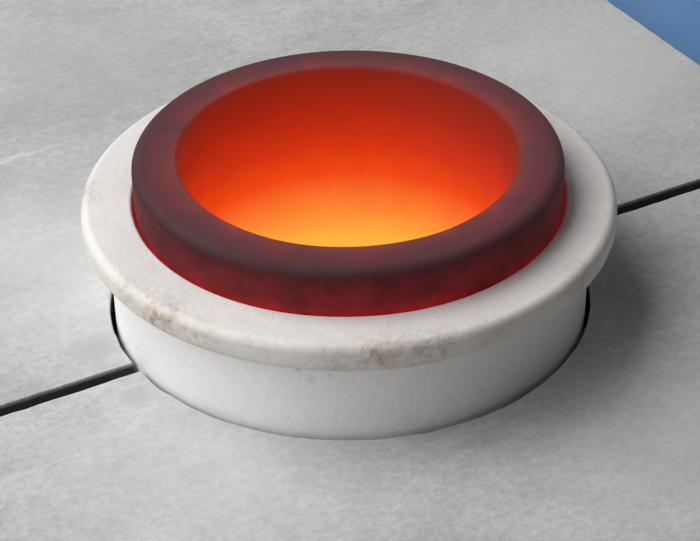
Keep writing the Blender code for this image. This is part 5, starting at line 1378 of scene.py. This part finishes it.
def makeGuard(look):
    guardLow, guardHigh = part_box("fan_guard")
    step = (look["bore"] - look["guardCentre"]) / look["guardRings"]
    halfBar = look["guardBar"] / 2
    loops = [rectangle(look["size"], look["size"], look["corner"]), *fanScrewHoles(look)]
    for ring in range(look["guardRings"]):
        inner = look["guardCentre"] + ring * step
        outer = inner + step - look["guardBar"]
        for quarter in range(4):
            middle = 45 + quarter * 90
            innerHalf = 45 - math.degrees(math.asin(halfBar / inner))
            outerHalf = 45 - math.degrees(math.asin(halfBar / outer))
            steps = look["slotSteps"]
            slot = arc(outer, middle - outerHalf, middle + outerHalf, steps)
            slot += arc(inner, middle + innerHalf, middle - innerHalf, steps)
            corners = (0, steps, steps + 1, 2 * steps + 1)
            radii = [look["slotCorner"] * mm if index in corners else 0 for index in range(len(slot))]
            loops.append(hole(filleted(slot, radii)))
    middle = middleOf("fan_guard")
    origin = Vector((middle.x, guardLow.y, middle.z))
    thick = (guardHigh.y - guardLow.y) / mm
    dress("fan_guard", slab(loops, 0, thick, look["guardEdge"]), origin=origin, side="rear")


# Brass hose tails, cable gland and earth stud in the rear panel
fittingLook = {
    "sheet": 2.0, "tail": 4.2, "barb": 5.2, "barbs": 3, "reach": 26.0, "inner": 18.0, "thread": 6.0,
    "nut": 10.0, "nutHeight": 5.0, "bore": 2.0, "boreDepth": 12.0,
    "glandThread": 8.0, "glandBore": 5.0, "glandNut": 11.5, "glandDome": 9.5, "glandDomeHeight": 12.0,
    "glandInner": 9.0, "ribDepth": 0.45, "ribs": 20, "sealWall": 2.2,
    "stud": 3.0, "studNut": 5.6, "studNutHeight": 4.5, "studReach": 14.0,
    "washer": 7.5, "washerThickness": 1.2, "threadPitch": 0.8, "threadDepth": 0.28,
}


def makeNipples(look):
    back = -(look["sheet"] + seatGap)
    nutTop, nutBack = seatGap + look["nutHeight"], back - look["nutHeight"]
    innerEnd = -look["sheet"] - look["inner"]
    tail, thread, bore = look["tail"], look["thread"], look["bore"]
    corners = [(0, innerEnd, 0), (tail, innerEnd, 0.4), (tail, nutBack - 1.5, 0.3)]
    corners += [(thread, nutBack - 1.2, 0.2), (thread, nutTop + 0.8, 0.4), (tail, nutTop + 1.0, 0.2)]
    step = (look["reach"] - nutTop - 1.0) / look["barbs"]
    for number in range(look["barbs"]):
        start = nutTop + 1.0 + number * step
        corners += [(tail, start + 0.4, 0.1), (look["barb"], start + step * 0.28, 0.15)]
        corners.append((tail, start + step, 0.1))
    floor = look["reach"] - look["boreDepth"]
    corners += [(bore, look["reach"], 0.4), (bore, floor, 0), (0, floor, 0)]
    for name in ("water_inlet", "water_outlet"):
        nuts = [hexNut(look["nut"], seatGap, nutTop), hexNut(look["nut"], nutBack, back)]
        shape = together(turned(rounded(corners), 56), *nuts)
        dress(name, shape, origin=onPanel(name, "rear"), side="rear", sharp=30)


def makeGland(look):
    back = -(look["sheet"] + seatGap)
    nutTop, nutBack = seatGap + look["nutHeight"], back - look["nutHeight"]
    top = nutTop + look["glandDomeHeight"]
    dome, bore, thread = look["glandDome"], look["glandBore"], look["glandThread"]

    def ribbed(out, turn, height):
        level = height / mm
        if out < (dome - 0.6) * mm or level < nutTop + 1 or level > top - 4:
            return out
        return out - look["ribDepth"] * mm * max(0.0, math.cos(turn * look["ribs"]))

    cap = [(bore, nutTop, 0), (dome, nutTop, 0.3)]
    cap += [(dome, nutTop + 1.2 + rise, 0) for rise in range(7)]
    cap += [(dome, top - 4, 2.0), ((dome + bore) / 2, top, 1.2), (bore, top, 0.5)]
    inner = -look["sheet"] - look["glandInner"]
    stem = [(bore, inner, 0), (thread, inner, 0.3), (thread, nutTop, 0), (bore, nutTop, 0)]
    shape = together(
        turned(rounded(cap), 120, closed=True, reshape=ribbed),
        turned(rounded(stem), 56, closed=True),
        hexNut(look["glandNut"], seatGap, nutTop, thread),
        hexNut(look["glandNut"], nutBack, back, thread),
    )
    origin = onPanel("cable_gland", "rear")
    dress("cable_gland", shape, origin=origin, side="rear", sharp=30)
    lip, throat = bore - 0.02, bore - look["sealWall"]
    seal = [(throat, top - 5, 0.3), (lip, top - 5, 0), (lip, top - 1, 0), (throat, top - 1.6, 0.4)]
    rubber = turned(rounded(seal), 48, closed=True)
    addPiece("gland_seal", rubber, "cable_gland", finishes["rubber"], origin, "rear")


def makeEarthStud(look):
    back = -(look["sheet"] + seatGap)
    washerTop = seatGap + look["washerThickness"]
    nutTop, nutBack = washerTop + look["studNutHeight"], back - look["studNutHeight"]
    stud, reach = look["stud"], look["studReach"]
    corners = [(0, nutBack - 1.5, 0), (stud, nutBack - 1.5, 0.3)]
    corners += threaded(stud, nutTop, reach - 0.6, look["threadPitch"], look["threadDepth"])
    corners += [(stud - 0.7, reach, 0), (0, reach, 0)]
    washer = [circle(look["washer"], 48), hole(circle(stud, 32))]
    shape = together(
        turned(rounded(corners), 40),
        slab(washer, seatGap, washerTop, 0.2),
        hexNut(look["studNut"], washerTop, nutTop),
        hexNut(look["studNut"], nutBack, back),
    )
    dress("earth_stud", shape, origin=onPanel("earth_stud", "rear"), side="rear", sharp=25)


# Induction coil, hoses and the electronics
coilLook = {
    "tube": 4.5, "halfTurns": 13, "stepsPerHalf": 40, "radius": 69.25, "lowLevel": 108.4, "highLevel": 178.8,
    "straight": 60.0,
}


def makeCoil(look):
    tube, radius = look["tube"] * mm, look["radius"] * mm
    lowZ, highZ = look["lowLevel"] * mm, look["highLevel"] * mm
    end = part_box("induction_coil")[1].x
    start = end - look["straight"] * mm
    route = [Vector((end, axis.y - radius, lowZ)), Vector((start, axis.y - radius, lowZ))]
    count = look["halfTurns"] * look["stepsPerHalf"]
    for step in range(count + 1):
        share = step / count
        turn = -math.pi / 2 - look["halfTurns"] * math.pi * share
        height = lowZ + (highZ - lowZ) * share
        route.append(Vector((axis.x + radius * math.cos(turn), axis.y + radius * math.sin(turn), height)))
    route += [Vector((start, axis.y + radius, highZ)), Vector((end, axis.y + radius, highZ))]
    dress("induction_coil", swept(route, tube, 16))


hoseLook = {"radius": 6.0, "bend": 30.0, "wallClearance": 14.0, "steps": 16, "busGap": 4.6}


def makeHoses(look):
    # The route's stops are those of the plain hoses
    radius = coilLook["radius"] * mm
    frontY, rearY = axis.y - radius, axis.y + radius
    lowZ, highZ = coilLook["lowLevel"] * mm, coilLook["highLevel"] * mm
    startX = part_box("induction_coil")[1].x + look["busGap"] * mm
    bend, hose = look["bend"] * mm, look["radius"] * mm
    inlet, outlet = middleOf("water_inlet"), middleOf("water_outlet")
    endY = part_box("water_inlet")[0].y - seatGap * mm
    endZ = inlet.z
    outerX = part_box("right_panel")[0].x - seatGap * mm - look["wallClearance"] * mm - hose
    supply = [(startX, frontY, lowZ), (startX + bend / 2, frontY, lowZ)]
    supply += [(outerX - bend, frontY - bend / 2, lowZ), (outerX, frontY + bend / 2, lowZ)]
    supply += [(outerX, axis.y, (lowZ + endZ) / 2), (outerX, rearY, endZ)]
    supply += [(inlet.x, endY - bend / 2, endZ), (inlet.x, endY, endZ)]
    back = [(startX, rearY, highZ), (startX + bend / 2, rearY, highZ)]
    back += [(startX + bend, rearY + bend / 2, highZ - bend / 4)]
    back += [(outlet.x, endY - bend * 2, (highZ + endZ) / 2 + bend / 2), (outlet.x, endY - bend / 3, endZ)]
    back.append((outlet.x, endY, endZ))
    for name, stops in (("supply_hose", supply), ("return_hose", back)):
        route = smoothRoute([Vector(stop) for stop in stops], look["steps"])
        dress(name, swept(route, hose, 20))


cardLook = {
    "busCorner": 2.0, "busEdge": 0.5, "finCorner": 0.4, "finEdge": 0.3, "cardEdge": 0.2,
    # x and y as shares of the card, then width, depth and height
    "blocks": (
        (0.25, 0.22, 20, 16, 14), (0.72, 0.2, 15, 19, 15.5), (0.3, 0.55, 9, 24, 3.2), (0.62, 0.55, 24, 9, 11),
    ),
    "blockCorner": 0.8,
    "blockEdge": 0.5,
    "cans": ((0.2, 0.82), (0.42, 0.82), (0.64, 0.82), (0.86, 0.82)),
    "canRadius": 5.0,
    "canHeight": 18.0,
}


def makeElectronics(look):
    for name in ("front_bus_plate", "rear_bus_plate"):
        cutSheet(name, (1, 0, 0), look["busCorner"], look["busEdge"])
    cutSheet("heat_sink", (0, 1, 0), look["finCorner"], look["finEdge"])
    softBlock("tuning_capacitor", 2.0, 4.0)
    softBlock("power_module", 1.0, 1.6)
    cutSheet("inverter_card", (0, 0, 1), look["busCorner"], look["cardEdge"])
    low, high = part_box("inverter_card")
    width, depth = high.x - low.x, high.y - low.y

    def onCard(x, y):
        return Matrix.Translation((low.x + width * x, low.y + depth * y, high.z))

    blocks = []
    for x, y, wide, deep, tall in look["blocks"]:
        outline = rectangle(wide, deep, look["blockCorner"])
        blocks.append((slab([outline], 0.05, tall, look["blockEdge"]), onCard(x, y)))
    addPiece("card_blocks", together(*blocks), "inverter_card", finishes["black_plastic"])
    radius, tall = look["canRadius"], look["canHeight"]
    can = [(0, 0.05, 0), (radius, 0.05, 0.4), (radius, 2.0, 0.2), (radius - 0.4, 2.6, 0.3)]
    can += [(radius, 3.2, 0.2), (radius, tall, 0.6), (radius - 1.2, tall, 0.3)]
    can += [(radius - 1.5, tall - 0.4, 0.2), (0, tall - 0.4, 0)]
    cans = [(turned(rounded(can), 40), onCard(x, y)) for x, y in look["cans"]]
    addPiece("card_cans", together(*cans), "inverter_card", finishes["aluminium"])


# Floor, light and camera
studioLook = {
    # Name, then degrees round the crucible from X and up, distance, width, height and power
    "lamps": (
        ("key_lamp", 140, 49, 1.3, 1.3, 1.3, 19.5),
        ("side_lamp", 188, 26, 0.8, 0.6, 0.6, 2.7),
    ),
    # Weak lamps that light only the cabinet below the top and the floor
    "lowLamps": (
        ("front_lamp", 285, 12, 1.4, 1.2, 0.6, 7.0),
        ("right_lamp", 10, 12, 1.4, 1.2, 0.6, 7.0),
        ("rear_lamp", 85, 12, 1.4, 1.2, 0.6, 7.0),
    ),
    "topPieces": ("crucible", "sleeve", "front_board", "rear_board", "deck"),
    "worldLevel": 0.06,
    "worldTone": (1.0, 0.92, 0.89, 1),
    "floorHalf": 6.0,
}


def addLamp(name, aim, turn, rise, distance, width, height, power):
    lamp = bpy.data.lights.new(name, "AREA")
    lamp.shape = "RECTANGLE"
    lamp.size, lamp.size_y = width, height
    lamp.energy = power
    holder = bpy.data.objects.new(name, lamp)
    level = math.cos(math.radians(rise))
    towards = Vector((level * math.cos(math.radians(turn)), level * math.sin(math.radians(turn)), 0))
    towards.z = math.sin(math.radians(rise))
    holder.location = aim + towards * distance
    holder.rotation_mode = "QUATERNION"
    holder.rotation_quaternion = towards.to_track_quat("Z", "Y")
    holder.visible_camera = False
    scene.collection.objects.link(holder)
    return holder


def makeStudio(look):
    aim = Vector((axis.x, axis.y, rimHigh.z))
    for name, *settings in look["lamps"]:
        addLamp(name, aim, *settings)
    world = bpy.data.worlds.new("studio")
    scene.world = world
    world.use_nodes = True
    tree = world.node_tree
    light = tree.nodes["Background"]
    rays = put(tree, "LightPath").outputs
    seen = maths(tree, "MAXIMUM", rays["Is Camera Ray"], rays["Is Glossy Ray"])
    seen = maths(tree, "MAXIMUM", seen, rays["Is Transmission Ray"])
    tree.links.new(spread(tree, seen, 0, 1, look["worldLevel"], 0.92), light.inputs["Strength"])
    tree.links.new(mixed(tree, seen, look["worldTone"], (1, 1, 1, 1)), light.inputs["Color"])
    floorFinish = surface("floorFinish", {
        "tone": (224, 224, 222), "patch": (219, 219, 217), "patchSize": 160, "speck": 0.015, "speckSize": 2,
        "rough": 0.8, "bumps": ((2.0, 0.004),),
    })
    mesh = bpy.data.meshes.new("floor")
    half = look["floorHalf"]
    corners = [(-half, -half, 0), (half, -half, 0), (half, half, 0), (-half, half, 0)]
    mesh.from_pydata(corners, [], [(0, 1, 2, 3)])
    mesh.materials.append(floorFinish)
    floor = bpy.data.objects.new("floor", mesh)
    scene.collection.objects.link(floor)
    lowPieces = bpy.data.collections.new("low_pieces")
    for piece in scene.objects:
        if piece.type == "MESH" and not piece.name.startswith(look["topPieces"]):
            lowPieces.objects.link(piece)
    for name, *settings in look["lowLamps"]:
        addLamp(name, aim, *settings).light_linking.receiver_collection = lowPieces


cameraLook = {
    "spot": (-265.53, -403.58, 512.89),      # millimetres
    "aim": (-84.24, -66.05, 250.8),
    "roll": -0.861,
    "focal": 2140.9,                          # pixels on a picture 700 wide
    "pictureWidth": 700,
    "sensor": 36.0,
}


def makeCamera(look):
    camera = bpy.data.cameras.new("camera")
    camera.sensor_width = look["sensor"]
    camera.lens = look["focal"] / look["pictureWidth"] * look["sensor"]
    camera.clip_start = 0.01
    holder = bpy.data.objects.new("camera", camera)
    spot, aim = Vector(look["spot"]) * mm, Vector(look["aim"]) * mm
    roll = Quaternion((0, 0, 1), math.radians(look["roll"]))
    holder.location = spot
    holder.rotation_mode = "QUATERNION"
    holder.rotation_quaternion = (aim - spot).to_track_quat("-Z", "Y") @ roll
    scene.collection.objects.link(holder)
    scene.camera = holder
    scene.view_settings.view_transform = "Standard"


# Finishes that need only a few settings
plainLooks = {
    "fibre": {
        "tone": (228, 224, 212), "patch": (216, 210, 196), "rough": 0.9, "roughSpread": 0.05,
        "bumps": ((1.5, 0.25), (0.5, 0.08)),
    },
    "firebrick": {
        "tone": (214, 196, 164), "patch": (200, 178, 142), "rough": 0.9, "roughSpread": 0.05,
        "bumps": ((2.0, 0.3), (0.6, 0.1)), "speck": 0.12, "speckSize": 1.2,
    },
    "copper": {
        "tone": (206, 126, 88), "patch": (166, 92, 66), "metal": 1.0, "rough": 0.32, "bumps": ((3, 0.02),),
        "dirt": (92, 52, 40), "dirtShare": 0.4, "dirtSize": 18,
    },
    "phenolic": {"tone": (104, 62, 36), "patch": (90, 52, 30), "rough": 0.55, "stretch": (1, 1, 8)},
    "zinc_steel": {
        "tone": (186, 188, 190), "patch": (168, 171, 174), "metal": 1.0, "rough": 0.34,
        "bumps": ((0.8, 0.01),), "dirt": (120, 118, 112), "dirtShare": 0.3,
    },
    "rubber": {
        "tone": (34, 34, 36), "patch": (44, 44, 45), "rough": 0.82, "bumps": ((0.7, 0.03),), "speck": 0.15,
    },
    "black_plastic": {
        "tone": (29, 30, 32), "patch": (35, 36, 38), "rough": 0.5, "bumps": ((0.4, 0.012),),
        "worn": (82, 84, 88), "wornShare": 0.35,
    },
    "green_plastic": {"tone": (26, 132, 66), "patch": (30, 122, 62), "rough": 0.3, "bumps": ((2.5, 0.01),)},
    "red_plastic": {"tone": (186, 30, 28), "patch": (172, 26, 26), "rough": 0.3, "bumps": ((2.5, 0.01),)},
    "amber_plastic": {"tone": (230, 150, 30), "patch": (218, 138, 28), "rough": 0.3, "bumps": ((2.5, 0.01),)},
    "smoked_window": {
        "tone": (30, 8, 10), "patch": (25, 7, 9), "rough": 0.1, "roughSpread": 0.04, "bumps": ((9, 0.01),),
    },
    "dial_face": {
        "tone": (206, 208, 210), "patch": (198, 200, 203), "metal": 0.6, "rough": 0.42, "stretch": (14, 1, 1),
        "bumps": ((0.3, 0.004),),
    },
    "brass": {
        "tone": (202, 164, 92), "patch": (176, 136, 72), "metal": 1.0, "rough": 0.3, "bumps": ((1.2, 0.012),),
        "dirt": (96, 76, 44), "dirtShare": 0.4, "dirtSize": 12,
    },
    "aluminium": {
        "tone": (198, 200, 203), "patch": (186, 188, 192), "metal": 1.0, "rough": 0.38, "stretch": (1, 16, 1),
        "bumps": ((0.4, 0.01),),
    },
    "circuit_card": {"tone": (28, 88, 54), "patch": (24, 78, 48), "rough": 0.45, "bumps": ((1.5, 0.02),)},
    "hose_rubber": {"tone": (40, 62, 104), "patch": (36, 56, 94), "rough": 0.6, "bumps": ((1.0, 0.03),)},
    "blue_paint": caseLook["paint"],
}
finishes = {name: surface(name, look) for name, look in plainLooks.items()}
finishes["cement_board"] = boardFinish(boardLook)
for node, slotName in slotOf.items():
    if slotName in finishes:
        cadNodes[node].data.materials.clear()
        cadNodes[node].data.materials.append(finishes[slotName])
screwMesh = drawScrew(screwLook)
print("finishes ready:", len(finishes))

makeCrucible(crucibleLook)
makeSleeve(sleeveLook)
makeHearth(hearthLook)
makeBoards(boardLook)
print("hearth pieces made")
makeCase(caseLook)
makeHandles(handleLook)
makeFeet(footLook)
makeScrews(screwLook)
print("case made")
makeMeter(meterLook)
makeLamps(lampLook)
makeDial(knobLook)
makeKnob(knobLook)
makeButtons(buttonLook)
makeRocker(rockerLook)
print("controls made")
makeFan(fanLook)
makeGuard(fanLook)
makeNipples(fittingLook)
makeGland(fittingLook)
makeEarthStud(fittingLook)
print("rear fittings made")
makeCoil(coilLook)
makeHoses(hoseLook)
makeElectronics(cardLook)
print("inside made")
makeStudio(studioLook)
makeCamera(cameraLook)
print("studio ready")
